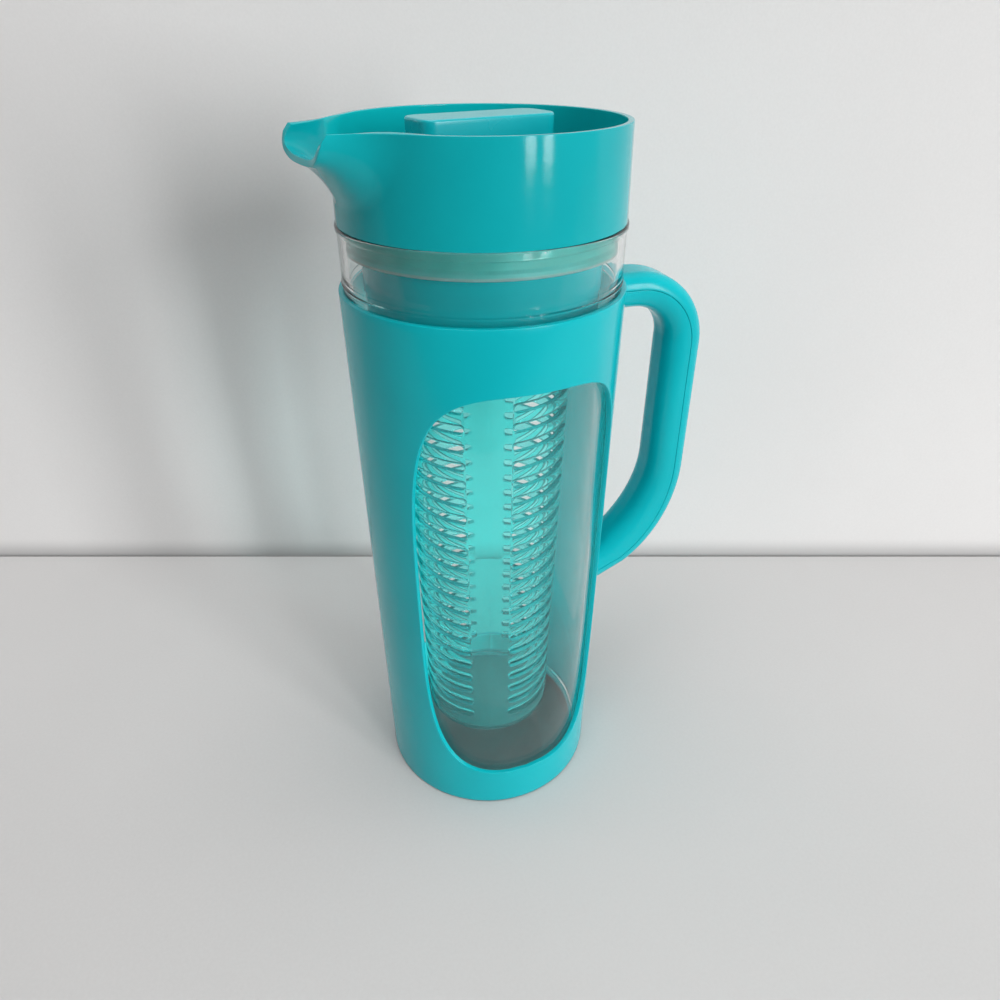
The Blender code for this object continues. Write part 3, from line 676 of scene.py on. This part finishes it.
# Infuser
# A basket of clear teal plastic with a column of round-ended slots down each side, moulded in two
# halves that leave a fine line down its plain strips. Three lugs on its collar hang it in the lid.

# In degrees: where each column of slots faces, half its angle, and the angle of the strip after it
SLOT_GROUPS = ((-14.6, 72.6, 27.5), (163.3, 77.7, 31.8))
INFUSER_RADIUS_TOP = 34.7
INFUSER_RADIUS_BOTTOM = 29.8
INFUSER_BOTTOM = 26.4
INFUSER_SHOULDER = 228.0
INFUSER_WALL = 2.2
INFUSER_CORNER = 4.0
SHOULDER_STEP = 0.3
SHOULDER_RISE = 0.9
COLLAR_RADIUS = 38.75
COLLAR_BOTTOM = 239.5
COLLAR_TOP = 247.3
SLOT_HALF_HEIGHT = 1.8
SLOT_PITCH = 8.17
SLOT_MARGIN = 9.0
SLOT_STEPS = 36
SLOT_END_STEPS = 6
STRIP_STEPS = (0.14, 0.3, 0.43, 0.48, 0.5, 0.52, 0.57, 0.7, 0.86)
MOULD_LINE = 0.12
FLOOR_RING = 6.0
FOOT_RISE = 6.0
SLOT_EDGE = 0.25
LUGS = 3
LUG_HALF_ANGLE = 20.0
LUG_RADII = (37.9, 40.75)
LUG_HEIGHTS = (243.2, 245.8)


def infuser_radius(height):
    """Outer radius of the infuser's tube at a height."""
    share = (height - INFUSER_BOTTOM) / (INFUSER_SHOULDER - INFUSER_BOTTOM)
    return INFUSER_RADIUS_BOTTOM + (INFUSER_RADIUS_TOP - INFUSER_RADIUS_BOTTOM) * share


def infuser_columns():
    """Columns of the infuser's wall: (group, place along a slot, bend of its end, place in the strip)."""
    columns = []
    bends = [math.sin(math.pi / 2 * step / SLOT_END_STEPS) for step in range(1, SLOT_END_STEPS + 1)]
    for group in SLOT_GROUPS:
        columns += [(group, -1.0, -bend, 0.0) for bend in reversed(bends)]
        columns += [(group, along, 0.0, 0.0) for along in spread(-1.0, 1.0, SLOT_STEPS)]
        columns += [(group, 1.0, bend, 0.0) for bend in bends]
        columns += [(group, 1.0, 1.0, share) for share in STRIP_STEPS]
    return columns


def infuser_spot(column, radius, height):
    """Place on the infuser's wall at a column."""
    (facing, half_angle, strip), along, bend, share = column
    end = SLOT_HALF_HEIGHT / infuser_radius(height)
    turn = math.radians(facing + strip * share) + along * (math.radians(half_angle) - end) + end * bend
    radius += MOULD_LINE if share == 0.5 else 0.0
    return Vector((radius * math.cos(turn), radius * math.sin(turn), height)) * MM


def slot_rise(column):
    """Half the slot's opening at a column: full along the slot, round at its ends, none in the strip."""
    bend = column[2]
    return SLOT_HALF_HEIGHT * math.sqrt(max(0.0, 1 - bend * bend))


def infuser_sheet():
    """The infuser's outer face, with its slots left open."""
    built = bmesh.new()
    columns = infuser_columns()
    foot = rounded([
        (FLOOR_RING, INFUSER_BOTTOM, 0),
        (infuser_radius(INFUSER_BOTTOM), INFUSER_BOTTOM, INFUSER_CORNER),
        (infuser_radius(INFUSER_BOTTOM + FOOT_RISE), INFUSER_BOTTOM + FOOT_RISE, 0),
    ], closed=False)
    top = [
        (INFUSER_RADIUS_TOP, INFUSER_SHOULDER),
        (INFUSER_RADIUS_TOP + SHOULDER_STEP, INFUSER_SHOULDER + SHOULDER_RISE),
        (COLLAR_RADIUS, COLLAR_BOTTOM),
        (COLLAR_RADIUS, COLLAR_TOP),
    ]
    rows = [[built.verts.new(infuser_spot(column, *point)) for column in columns] for point in foot[:-1]]
    stretches = []
    highest = INFUSER_SHOULDER - SLOT_MARGIN
    count = 1 + int((highest - INFUSER_BOTTOM - SLOT_MARGIN) / SLOT_PITCH)
    for slot in reversed(range(count)):
        height = highest - slot * SLOT_PITCH
        below, above = [], []
        for column in columns:
            rise = slot_rise(column)
            low = height - rise
            under = built.verts.new(infuser_spot(column, infuser_radius(low), low))
            below.append(under)
            if rise < 0.001:
                above.append(under)
                continue
            high = height + rise
            above.append(built.verts.new(infuser_spot(column, infuser_radius(high), high)))
        rows.append(below)
        stretches.append(rows)
        rows = [above]
    rows += [[built.verts.new(infuser_spot(column, *point)) for column in columns] for point in top]
    stretches.append(rows)
    for rows in stretches:
        for near, far in zip(rows, rows[1:]):
            for index in range(len(columns)):
                after = (index + 1) % len(columns)
                built.faces.new((near[index], near[after], far[after], far[index]))
    built.faces.new(list(reversed(stretches[0][0])))
    return built


def ring_of_lugs(built, radii, heights):
    """Lugs spaced evenly round the axis, each a piece of a ring between two radii and two heights."""
    inner, outer = radii
    for lug in range(LUGS):
        middle = LID_TURN + lug * 360 / LUGS
        turns = spread(middle - LUG_HALF_ANGLE, middle + LUG_HALF_ANGLE, 12)
        angles = [math.radians(turn) for turn in turns]
        outline = [(outer * math.cos(angle), outer * math.sin(angle)) for angle in angles]
        outline += [(inner * math.cos(angle), inner * math.sin(angle)) for angle in reversed(angles)]
        loft(built, [[Vector((x, y, height)) * MM for x, y in outline] for height in heights])


LID_TURN = 14.0
INFUSER_TINT = (0.31, 1.0, 0.985, 1)
INFUSER_FILM = (0.92, 1.0, 1.0, 1)
INFUSER_EDGE = (0.03, 0.70, 0.71, 1)
infuser_plastic = clear_plastic(
    "infuser_plastic", INFUSER_TINT, INFUSER_FILM, bend=1.24, clarity=0.935, roughness=0.02, ripple=90,
    edge=INFUSER_EDGE)
mesh = thickened(infuser_sheet(), INFUSER_WALL, SLOT_EDGE, steps=2)
ring_of_lugs(mesh, LUG_RADII, LUG_HEIGHTS)
infuser = piece("slotted_infuser", mesh, infuser_plastic)
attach(infuser, "infuser")
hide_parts("infuser")

# Lid
# A deep open cup of gloss teal plastic with a pouring spout drawn out of its wall, curved ports in its
# floor, and a skirt under it that plugs the neck and takes the infuser's lugs.

SPOUT_FACING = math.radians(180 + LID_TURN)
LID_BOTTOM = 263.3
LID_RIM = 295.0
LID_RADIUS_TOP = 51.05
LID_WALL = 2.1
LID_EDGE = 0.9
LID_FLOOR = 265.7
CUP_RADIUS = 49.4
FLOOR_RADIUS = 50.3
FLOOR_LAP = 269.5
BOSS_BORE = 6.3
BOSS_SEAT_RADIUS = 8.8
BOSS_SEAT = 265.8
BOSS_RADIUS = 11.5
BOSS_TOP = 268.3
SEAL_SEAT_RADIUS = 43.25
SEAL_SEAT_BOTTOM = 253.5
SKIRT_RADIUS = 44.05
SKIRT_BORE = 41.05
SKIRT_BOTTOM = 231.5
CATCH_RADII = (39.05, 42.1)
CATCH_HEIGHTS = (240.3, 242.9)
SPOUT_MOUTH = 60.25
SPOUT_ROOT = 45.55
SPOUT_HALF_WIDTH = 17.8
SPOUT_ROOT_HALF_WIDTH = 21.5
SPOUT_DEPTH = 9.8
SPOUT_ROOT_DEPTH = 27.0
SPOUT_SWEEP = 1.7
SPOUT_LEAN = 0.44
SPOUT_SQUARE = 0.62
SPOUT_BLEND = 14.0
SPOUT_BLEND_LOW = 2.0
SPOUT_DEEPEST = 2.4
SPOUT_ROWS = 120
SPOUT_COLUMNS = 90
MOUTH_STEPS = 36
FLANK_ANGLE = 30.0
FLANK_STEPS = 40
BACK_STEPS = 48
WALL_ROWS = 34
PORT_RADII = (20.0, 27.0, 34.0)
PORT_HALF_WIDTH = 2.0
PORT_HALF_ANGLE = 38.0
PORT_HEIGHTS = (262.0, 267.0)
VENT_RADIUS = 30.0
VENT_HALF_ANGLE = 10.0


def spout_spot(share, angle):
    """Place on the spout's outside, (along, across, height), from its mouth back to its root."""
    half_width = SPOUT_HALF_WIDTH + (SPOUT_ROOT_HALF_WIDTH - SPOUT_HALF_WIDTH) * share
    depth = SPOUT_DEPTH + (SPOUT_ROOT_DEPTH - SPOUT_DEPTH) * share ** SPOUT_SWEEP
    square = SPOUT_SQUARE + (1 - SPOUT_SQUARE) * min(share, 1.0)
    low = max(0.0, math.sin(angle)) ** square
    across = math.copysign(abs(math.cos(angle)) ** square, math.cos(angle))
    along = SPOUT_MOUTH - (SPOUT_MOUTH - SPOUT_ROOT) * share
    along += SPOUT_LEAN * (1 - share) * depth * math.sqrt(low)
    return Vector((along, half_width * across, LID_RIM - depth * low))


def spout_skin():
    """The spout's outside on its own, for finding how far it stands out of the lid's wall."""
    shares = spread(0.0, SPOUT_DEEPEST, SPOUT_ROWS)
    angles = spread(0.0, math.pi, SPOUT_COLUMNS)
    spots = [spout_spot(share, angle) for share in shares for angle in angles]
    faces = []
    for row in range(len(shares) - 1):
        for column in range(len(angles) - 1):
            first = row * len(angles) + column
            faces.append((first, first + 1, first + 1 + len(angles), first + len(angles)))
    return BVHTree.FromPolygons(spots, faces)


def lid_radius(height):
    """Outer radius of the lid's wall at a height."""
    return NECK_RADIUS + (LID_RADIUS_TOP - NECK_RADIUS) * (height - LID_BOTTOM) / (LID_RIM - LID_BOTTOM)


def lid_columns():
    """Columns round the lid: (angle from the spout, height of the rim there)."""
    columns = []
    for angle in spread(0.0, math.pi, MOUTH_STEPS):
        lip = spout_spot(0.0, angle)
        columns.append((math.atan2(lip.y, lip.x), lip.z))
    tip = columns[0][0]
    side = [tip + math.radians(turn) for turn in spread(0.0, FLANK_ANGLE, FLANK_STEPS)[1:]]
    rest = spread(side[-1], math.pi, BACK_STEPS)[1:]
    flank = [(angle, LID_RIM) for angle in side + rest]
    other = [(-angle, LID_RIM) for angle in side + rest[:-1]]
    return flank[::-1] + columns + other


def lid_sheet():
    """The lid's outer wall, drawn out into the spout."""
    built = bmesh.new()
    skin = spout_skin()
    rows = []
    columns = lid_columns()
    for step in range(WALL_ROWS + 1):
        row = []
        for angle, rim in columns:
            height = LID_BOTTOM + (rim - LID_BOTTOM) * step / WALL_ROWS
            wall = lid_radius(height)
            aim = Vector((math.cos(angle), math.sin(angle), 0))
            start = Vector((0, 0, min(height, rim - 0.05)))
            hit = skin.ray_cast(start, aim)
            reach = hit[3] if hit[3] is not None else 0.0
            rise = (height - LID_BOTTOM) / (LID_RIM - LID_BOTTOM)
            blend = SPOUT_BLEND_LOW + (SPOUT_BLEND - SPOUT_BLEND_LOW) * rise
            overlap = max(0.0, blend - abs(wall - reach)) / blend
            radius = max(wall, reach) + overlap * overlap * blend / 4
            turn = SPOUT_FACING + angle
            place = Vector((radius * math.cos(turn), radius * math.sin(turn), height))
            row.append(built.verts.new(place * MM))
        rows.append(row)
    for near, far in zip(rows, rows[1:]):
        for index in range(len(columns)):
            after = (index + 1) % len(columns)
            built.faces.new((near[after], near[index], far[index], far[after]))
    return built


def curved_slot(built, radius, half_width, middle, half_angle, heights):
    """A curved slot with round ends, as a closed body to cut with."""
    outline = []
    for side in (1, -1):
        angles = spread(-side * half_angle, side * half_angle, 24)
        for angle in angles:
            turn = middle + math.radians(angle)
            reach = radius + side * half_width
            outline.append((reach * math.cos(turn), reach * math.sin(turn)))
        last = middle + math.radians(angles[-1])
        centre = Vector((radius * math.cos(last), radius * math.sin(last)))
        for swing in spread(0.0, math.pi, 8)[1:-1]:
            turn = last + swing if side > 0 else last + math.pi + swing
            outline.append(tuple(centre + Vector((math.cos(turn), math.sin(turn))) * half_width))
    loft(built, [[Vector((x, y, height)) * MM for x, y in outline] for height in heights])


def cut(built, tools):
    """Cut closed bodies out of another."""
    for part in (built, tools):
        bmesh.ops.recalc_face_normals(part, faces=part.faces)
    whole = worked("whole", built)
    cutter = worked("cutter", tools)
    boolean = whole.modifiers.new("Cut", "BOOLEAN")
    boolean.operation = "DIFFERENCE"
    boolean.object = cutter
    boolean.solver = "MANIFOLD"
    return settled(whole, cutter)


skirt_corners = [
    (BOSS_BORE, BOSS_SEAT, 0),
    (BOSS_SEAT_RADIUS, BOSS_SEAT, 0),
    (BOSS_SEAT_RADIUS, BOSS_TOP, 0.2),
    (BOSS_RADIUS, BOSS_TOP, 0.5),
    (BOSS_RADIUS, LID_FLOOR, 0.4),
    (CUP_RADIUS, LID_FLOOR, 3.0),
    (CUP_RADIUS, FLOOR_LAP, 0),
    (FLOOR_RADIUS, FLOOR_LAP, 0),
    (FLOOR_RADIUS, LID_BOTTOM, 0),
    (SEAL_SEAT_RADIUS, LID_BOTTOM, 0.2),
    (SEAL_SEAT_RADIUS, SEAL_SEAT_BOTTOM, 0),
    (SKIRT_RADIUS, SEAL_SEAT_BOTTOM, 0.2),
    (SKIRT_RADIUS, SKIRT_BOTTOM, 0.4),
    (SKIRT_BORE, SKIRT_BOTTOM, 0.4),
    (SKIRT_BORE, LID_BOTTOM, 0.4),
    (BOSS_BORE, LID_BOTTOM, 0.2),
]
floor_mesh = bmesh.new()
turned(floor_mesh, rounded(skirt_corners, steps=4, brace=0.3), steps=144)
ports = bmesh.new()
for radius in PORT_RADII:
    curved_slot(ports, radius, PORT_HALF_WIDTH, SPOUT_FACING, PORT_HALF_ANGLE, PORT_HEIGHTS)
vent_facing = SPOUT_FACING + math.pi
curved_slot(ports, VENT_RADIUS, PORT_HALF_WIDTH, vent_facing, VENT_HALF_ANGLE, PORT_HEIGHTS)
floor_mesh = cut(floor_mesh, ports)
floor_part = bpy.data.meshes.new("lid_floor")
floor_mesh.to_mesh(floor_part)
floor_mesh.free()
mesh = thickened(lid_sheet(), LID_WALL, LID_EDGE, steps=4)
mesh.from_mesh(floor_part)
bpy.data.meshes.remove(floor_part)
ring_of_lugs(mesh, CATCH_RADII, CATCH_HEIGHTS)
LID_TEAL = (0.003, 0.40, 0.44, 1)
LID_TEAL_DEEP = (0.002, 0.37, 0.41, 1)
# Painted glow: a paler teal for the lid's inner faces, standing in for light that comes through its wall
LID_PAINTED_GLOW = (0.004, 0.47, 0.50, 1)
lid_plastic = gloss_plastic("lid_plastic", LID_TEAL, LID_TEAL_DEEP, 0.11, inner=LID_PAINTED_GLOW)
lid = piece("spouted_lid", mesh, lid_plastic)
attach(lid, "lid")
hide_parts("lid")

# Lid seal
# A ring of milky silicone, stretched over the lid's skirt. Two soft lips press on the neck's bore,
# and the lower one ends in a pale line of painted highlight, for the light that its edge catches.

SEAL_BORE = 43.55
SEAL_LIP = 48.95
SEAL_WAIST = 47.9
SEAL_TOP = 263.0
SEAL_BOTTOM = 253.8
SEAL_LIP_HEIGHT = 2.4
SEAL_LIP_SLOPE = 1.0
PAINTED_HIGHLIGHT_BAND = (0.2547, 0.2553)

upper_lip = SEAL_TOP - SEAL_LIP_HEIGHT
lower_lip = SEAL_BOTTOM + SEAL_LIP_HEIGHT
seal_corners = [
    (SEAL_BORE, SEAL_TOP, 0.3),
    (SEAL_LIP, SEAL_TOP, 0.9),
    (SEAL_LIP, upper_lip, 0.5),
    (SEAL_WAIST, upper_lip - SEAL_LIP_SLOPE, 0.5),
    (SEAL_WAIST, lower_lip + SEAL_LIP_SLOPE, 0.5),
    (SEAL_LIP, lower_lip, 0.5),
    (SEAL_LIP, SEAL_BOTTOM, 0.9),
    (SEAL_BORE, SEAL_BOTTOM, 0.3),
]
silicone, build, shader = finish("seal_silicone", Transmission_Weight=0.8, IOR=1.41, Specular_IOR_Level=0.3)
cloud = build.noise(90, 3)
dust = build.noise(1800, 2)
colour = cloud.over(0.3, 0.7).blend((0.18, 0.80, 0.74, 1), (0.25, 0.88, 0.82, 1))
height = build.node("SeparateXYZ", {}, {0: build.node("TexCoord", output=3)}, output=2)
# Painted highlight: the bottom of the lower lip is painted pale, for the light that its edge catches
colour = height.over(*PAINTED_HIGHLIGHT_BAND).blend((0.72, 0.80, 0.78, 1), colour)
coat(build, shader, colour, 0.42 + dust * 0.12, dust, 0.12, 0.0002)
mesh = bmesh.new()
turned(mesh, rounded(seal_corners, steps=4, brace=0.2))
seal = piece("neck_seal", mesh, silicone)
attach(seal, "seal")
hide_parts("lid_seal")

# Knob
# A hollow bar of satin teal plastic that the fingers turn, with a fine matt texture on its top, which is
# also painted paler as a painted sheen of the light from above.
# Its shaft runs down through the lid's floor and ends in a square key.

KNOB_LENGTH = 51.0
KNOB_WIDTH = 19.0
KNOB_CORNER = 5.0
KNOB_EDGE = 0.9
KNOB_WALL = 2.2
KNOB_BOTTOM = 268.6
KNOB_TOP = 296.0
KNOB_BRACE = 0.8
KNOB_FOOT_EDGE = 0.3
KNOB_FOOT_BRACE = 1.2
KEY_WIDTH = 7.6
KEY_CORNER = 0.6
KEY_TOP = 265.0
SHAFT_RADIUS = 6.0
SHAFT_TOP = 295.0
SHAFT_BOTTOM = 263.3
SHUTTER_BOTTOM = 260.6


def bar_ring(length, width, corner, height):
    """A level ring round a bar with rounded corners, turned with the lid."""
    half_length, half_width = length / 2, width / 2
    outline = rounded([
        (half_length, half_width, corner),
        (-half_length, half_width, corner),
        (-half_length, -half_width, corner),
        (half_length, -half_width, corner),
    ], steps=8)
    spin = Matrix.Rotation(math.radians(LID_TURN), 2)
    return [Vector((*(spin @ point), height)) * MM for point in outline]


def knob_ring(inset, height):
    """A ring round the knob's bar, drawn in by an inset."""
    corner = max(0.5, KNOB_CORNER - inset)
    return bar_ring(KNOB_LENGTH - 2 * inset, KNOB_WIDTH - 2 * inset, corner, height)


mesh = bmesh.new()
knob_rings = [
    knob_ring(KNOB_WALL, KNOB_TOP - KNOB_WALL),
    knob_ring(KNOB_WALL, KNOB_BOTTOM),
    knob_ring(KNOB_FOOT_EDGE, KNOB_BOTTOM),
    knob_ring(0.0, KNOB_BOTTOM + KNOB_FOOT_EDGE),
    knob_ring(0.0, KNOB_BOTTOM + KNOB_FOOT_BRACE),
    knob_ring(0.0, KNOB_TOP - KNOB_EDGE - KNOB_BRACE),
]
for turn in spread(0.0, math.pi / 2, 6):
    inset = KNOB_EDGE * (1 - math.cos(turn))
    knob_rings.append(knob_ring(inset, KNOB_TOP - KNOB_EDGE * (1 - math.sin(turn))))
knob_rings.append(knob_ring(KNOB_EDGE + KNOB_BRACE, KNOB_TOP))
loft(mesh, knob_rings)
shaft_corners = [
    (0, SHAFT_TOP, 0),
    (SHAFT_RADIUS, SHAFT_TOP, 0),
    (SHAFT_RADIUS, SHAFT_BOTTOM, 0.3),
    (0, SHAFT_BOTTOM, 0),
]
turned(mesh, rounded(shaft_corners, closed=False, steps=3), steps=48)
loft(mesh, [bar_ring(KEY_WIDTH, KEY_WIDTH, KEY_CORNER, height) for height in (SHUTTER_BOTTOM, KEY_TOP)])

knob_plastic, build, shader = finish("knob_plastic", Specular_IOR_Level=0.5)
facing = build.node("SeparateXYZ", {}, {0: build.node("NewGeometry", output=1)}, output=2)
# Painted sheen: upward faces take a paler colour for the light from above, over a real matt texture with
# more roughness and grain
top = facing.over(0.75, 0.97)
cloud = build.noise(40, 3)
grain = build.noise(1900, 2)
side_colour = cloud.over(0.35, 0.65).blend(TEAL_DEEP, TEAL)
painted_sheen_top_colour = grain.over(0.3, 0.7).blend((0.13, 0.45, 0.48, 1), (0.19, 0.51, 0.53, 1))
colour = top.blend(side_colour, painted_sheen_top_colour)
coat(build, shader, colour, 0.24 + top * 0.26 + cloud * 0.06, grain * (0.15 + top), 0.12, 0.0002)
knob = piece("pour_knob", mesh, knob_plastic)
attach(knob, "knob")
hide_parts("knob")

# Shaft ring
# A black rubber ring in the lid's boss that keeps the drink out of the shaft's bore.

RING_SECTION = 1.1
RING_MIDDLE = 7.4
RING_HEIGHT = 267.2

ring_rubber, build, shader = finish("ring_rubber", Specular_IOR_Level=0.4)
bloom = build.noise(500, 3)
colour = bloom.over(0.35, 0.7).blend((0.018, 0.018, 0.019, 1), (0.04, 0.041, 0.042, 1))
coat(build, shader, colour, 0.42 + bloom * 0.2, bloom, 0.15, 0.0001)
mesh = bmesh.new()
section = []
for turn in spread(0.0, math.tau, 20)[:-1]:
    radius = RING_MIDDLE + RING_SECTION * math.cos(turn)
    section.append((radius, RING_HEIGHT + RING_SECTION * math.sin(turn)))
turned(mesh, section, steps=72)
ring = piece("shaft_seal", mesh, ring_rubber)
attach(ring, "knob")
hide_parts("shaft_ring")

# Shutter
# A flat disc of teal plastic under the lid's floor, keyed on the shaft. Its wide opening uncovers the
# ports when the knob is in line with the spout, and covers them after a quarter turn.

SHUTTER_RADIUS = 39.05
SHUTTER_TOP = 263.0
SHUTTER_CUT = (258.0, 266.0)
OPENING_RADIUS = 27.0
OPENING_HALF_WIDTH = 10.5
OPENING_HALF_ANGLE = 33.0
VENT_OPENING_HALF_WIDTH = 3.5
VENT_OPENING_HALF_ANGLE = 13.0
KEYHOLE = 8.2

shutter_corners = [
    (0, SHUTTER_TOP, 0),
    (SHUTTER_RADIUS, SHUTTER_TOP, 0.5),
    (SHUTTER_RADIUS, SHUTTER_BOTTOM, 0.5),
    (0, SHUTTER_BOTTOM, 0),
]
disc = bmesh.new()
turned(disc, rounded(shutter_corners, closed=False, steps=3, brace=0.3), steps=144)
openings = bmesh.new()
curved_slot(openings, OPENING_RADIUS, OPENING_HALF_WIDTH, SPOUT_FACING, OPENING_HALF_ANGLE, SHUTTER_CUT)
vent_size = (VENT_OPENING_HALF_WIDTH, vent_facing, VENT_OPENING_HALF_ANGLE)
curved_slot(openings, VENT_RADIUS, *vent_size, SHUTTER_CUT)
loft(openings, [bar_ring(KEYHOLE, KEYHOLE, KEY_CORNER, height) for height in SHUTTER_CUT])
shutter_plastic = gloss_plastic("shutter_plastic", TEAL, TEAL_DEEP, 0.28)
shutter = piece("port_shutter", cut(disc, openings), shutter_plastic)
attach(shutter, "knob")
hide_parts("shutter")

# Shutter screw
# A slotted stainless screw with a low domed head, driven up into the shaft to hold the shutter.

SCREW_RADIUS = 1.5
SCREW_TIP_RADIUS = 1.2
SCREW_TIP = 272.3
SCREW_TAPER = 271.6
HEAD_RADIUS = 5.5
HEAD_DOME_RADIUS = 3.6
HEAD_SEAT = 260.3
HEAD_RIM = 259.4
HEAD_BOTTOM = 257.7
DRIVE_LENGTH = 16.0
DRIVE_WIDTH = 1.2
DRIVE_HEIGHTS = (256.0, 258.9)

screw_corners = [
    (0, SCREW_TIP, 0),
    (SCREW_TIP_RADIUS, SCREW_TIP, 0),
    (SCREW_RADIUS, SCREW_TAPER, 0),
    (SCREW_RADIUS, HEAD_SEAT, 0),
    (HEAD_RADIUS, HEAD_SEAT, 0.2),
    (HEAD_RADIUS, HEAD_RIM, 0.5),
    (HEAD_DOME_RADIUS, HEAD_BOTTOM, 1.5),
    (0, HEAD_BOTTOM, 0),
]
head = bmesh.new()
turned(head, rounded(screw_corners, closed=False, steps=4), steps=64)
drive = bmesh.new()
loft(drive, [bar_ring(DRIVE_LENGTH, DRIVE_WIDTH, 0.1, height) for height in DRIVE_HEIGHTS])
steel, build, shader = finish("screw_steel", Metallic=1.0)
lathe = build.noise(60, 2, stretch=(1, 1, 40))
scratch = build.noise(900, 3)
colour = lathe.over(0.3, 0.7).blend((0.50, 0.51, 0.52, 1), (0.62, 0.63, 0.64, 1))
coat(build, shader, colour, 0.22 + scratch * 0.16, lathe + scratch * 0.5, 0.1, 0.0002)
screw = piece("shutter_fixing", cut(head, drive), steel)
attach(screw, "knob")
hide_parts("shutter_screw")

# Table and wall
# A plain pale table top with a plain wall close behind the pitcher, and a dark gap between them.
# Sizes from here on are in metres.

HEADING = Vector((0.2924, 0.9563, 0.0))
RIGHT = Vector((HEADING.y, -HEADING.x, 0.0))
WALL_DISTANCE = 0.152
WALL_GAP = 0.003
WALL_SHADE_HEIGHT = 0.014
TABLE_FRONT = 0.38
TABLE_BACK = 1.52
WALL_DROP = 0.02
STAGE_REACH = 3.0


def plain_paint(name, light, dark, foot=None):
    """Matt pale paint with a fine tooth; a wall has painted shade at its foot, where it meets the table,
    and is clear from behind.
    """
    material, build, shader = finish(name, Specular_IOR_Level=0.15)
    cloud = build.noise(3, 3)
    tooth = build.noise(700, 3)
    colour = (cloud * 0.7 + tooth * 0.3).over(0.3, 0.7).blend(dark, light)
    if foot:
        place = build.node("TexCoord", output=3)
        height = build.node("SeparateXYZ", {}, {0: place}, output=2)
        # Painted shade: the wall darkens towards its foot, standing in for the shadow where it meets the
        # table
        colour = height.over(0.0, WALL_SHADE_HEIGHT).blend(foot, colour)
    coat(build, shader, colour, 0.7 + cloud * 0.1, tooth, 0.1, 0.0004)
    if foot:
        behind = build.node("NewGeometry", output=6)
        clear = build.node("BsdfTransparent")
        body = Value(build.tree, shader.outputs[0])
        mixed = build.node("MixShader", {}, {0: behind, 1: body, 2: clear})
        build.tree.links.new(mixed.socket, build.tree.nodes["Material Output"].inputs["Surface"])
    return material


def sheet_object(name, corners, material):
    """A flat sheet between four corners."""
    mesh = bpy.data.meshes.new(name)
    mesh.from_pydata(corners, [], [(0, 1, 2, 3)])
    mesh.materials.append(material)
    placed(name, mesh)


near = HEADING * -TABLE_FRONT
far = HEADING * WALL_DISTANCE
left = RIGHT * -STAGE_REACH
right = RIGHT * STAGE_REACH
up = Vector((0, 0, STAGE_REACH))
drop = Vector((0, 0, WALL_DROP))
table_paint = plain_paint("table_paint", (0.645, 0.635, 0.63, 1), (0.605, 0.595, 0.59, 1))
# The third wall colour is the painted shade at the wall's foot
wall_colours_and_shade = ((0.775, 0.765, 0.76, 1), (0.735, 0.725, 0.72, 1), (0.544, 0.536, 0.533, 1))
wall_paint = plain_paint("wall_paint", *wall_colours_and_shade)
edge = HEADING * (WALL_DISTANCE - WALL_GAP)
back = HEADING * TABLE_BACK
sheet_object("table", [near + left, near + right, edge + right, edge + left], table_paint)
sheet_object("table_behind", [far + left, far + right, back + right, back + left], table_paint)
sheet_object("wall", [far + left - drop, far + right - drop, far + right + up, far + left + up], wall_paint)

# Light and camera
# Soft daylight from a tall pair of windows at the front right, and from above, with a dim room on the
# left. The camera stands close and looks down, as in the photo.

world = bpy.data.worlds.new("room")
world.use_nodes = True
bpy.context.scene.world = world
room = Value(world.node_tree)
direction = room.node("TexCoord", output=0)
across = room.node("VectorMath", {"operation": "DOT_PRODUCT"}, {0: direction, 1: RIGHT}, output=1)
glow = across.over(0.0, 0.9).blend((0.19, 0.19, 0.19, 1), (0.42, 0.415, 0.41, 1))
background = world.node_tree.nodes["Background"]
world.node_tree.links.new(glow.socket, background.inputs["Color"])
background.inputs["Strength"].default_value = 1.0


def window_light(name, place, aim, width, height, power):
    """A soft panel of daylight that faces a point."""
    data = bpy.data.lights.new(name, "AREA")
    data.shape = "RECTANGLE"
    data.size = width
    data.size_y = height
    data.energy = power
    item = placed(name, data)
    item.location = place
    item.rotation_euler = (aim - place).to_track_quat("-Z", "Y").to_euler()


def around(turn, distance, height):
    """A place round the pitcher, turned to the right of the camera's side by some degrees."""
    angle = math.radians(turn)
    return (RIGHT * math.sin(angle) - HEADING * math.cos(angle)) * distance + Vector((0, 0, height))


PITCHER_MIDDLE = Vector((0, 0, 0.2))
PANE_TURNS = {"window_left_pane": 36, "window_right_pane": 49.5}
PANE_DISTANCE = 3.0
PANE_MIDDLE = 0.71
PANE_WIDTH = 0.4
PANE_HEIGHT = 1.56
CEILING_SIZE = 1.6
CEILING_HEIGHT = 2.3
CEILING_FORWARD = 0.2
LIGHT_POWER = 33
for name, pane_turn in PANE_TURNS.items():
    place = around(pane_turn, PANE_DISTANCE, PANE_MIDDLE)
    window_light(name, place, PITCHER_MIDDLE, PANE_WIDTH, PANE_HEIGHT, LIGHT_POWER)
ceiling = around(0, CEILING_FORWARD, CEILING_HEIGHT)
window_light("ceiling", ceiling, PITCHER_MIDDLE, CEILING_SIZE, CEILING_SIZE, LIGHT_POWER)

CAMERA_PLACE = (-0.0759, -0.2702, 0.3218)
CAMERA_AIM = Vector((0.2465, 0.8063, -0.5376))
camera_data = bpy.data.cameras.new("camera")
camera_data.lens = 27.0
camera_data.sensor_width = 36.0
camera_data.clip_start = 0.01
camera = placed("camera", camera_data)
forward = CAMERA_AIM.normalized()
sideways = forward.cross(Vector((0, 0, 1))).normalized()
turn = Matrix((sideways, sideways.cross(forward), -forward)).transposed().to_4x4()
camera.matrix_world = Matrix.Translation(CAMERA_PLACE) @ turn
bpy.context.scene.camera = camera
bpy.context.scene.view_settings.view_transform = "Standard"
bpy.context.scene.cycles.transparent_max_bounces = 24
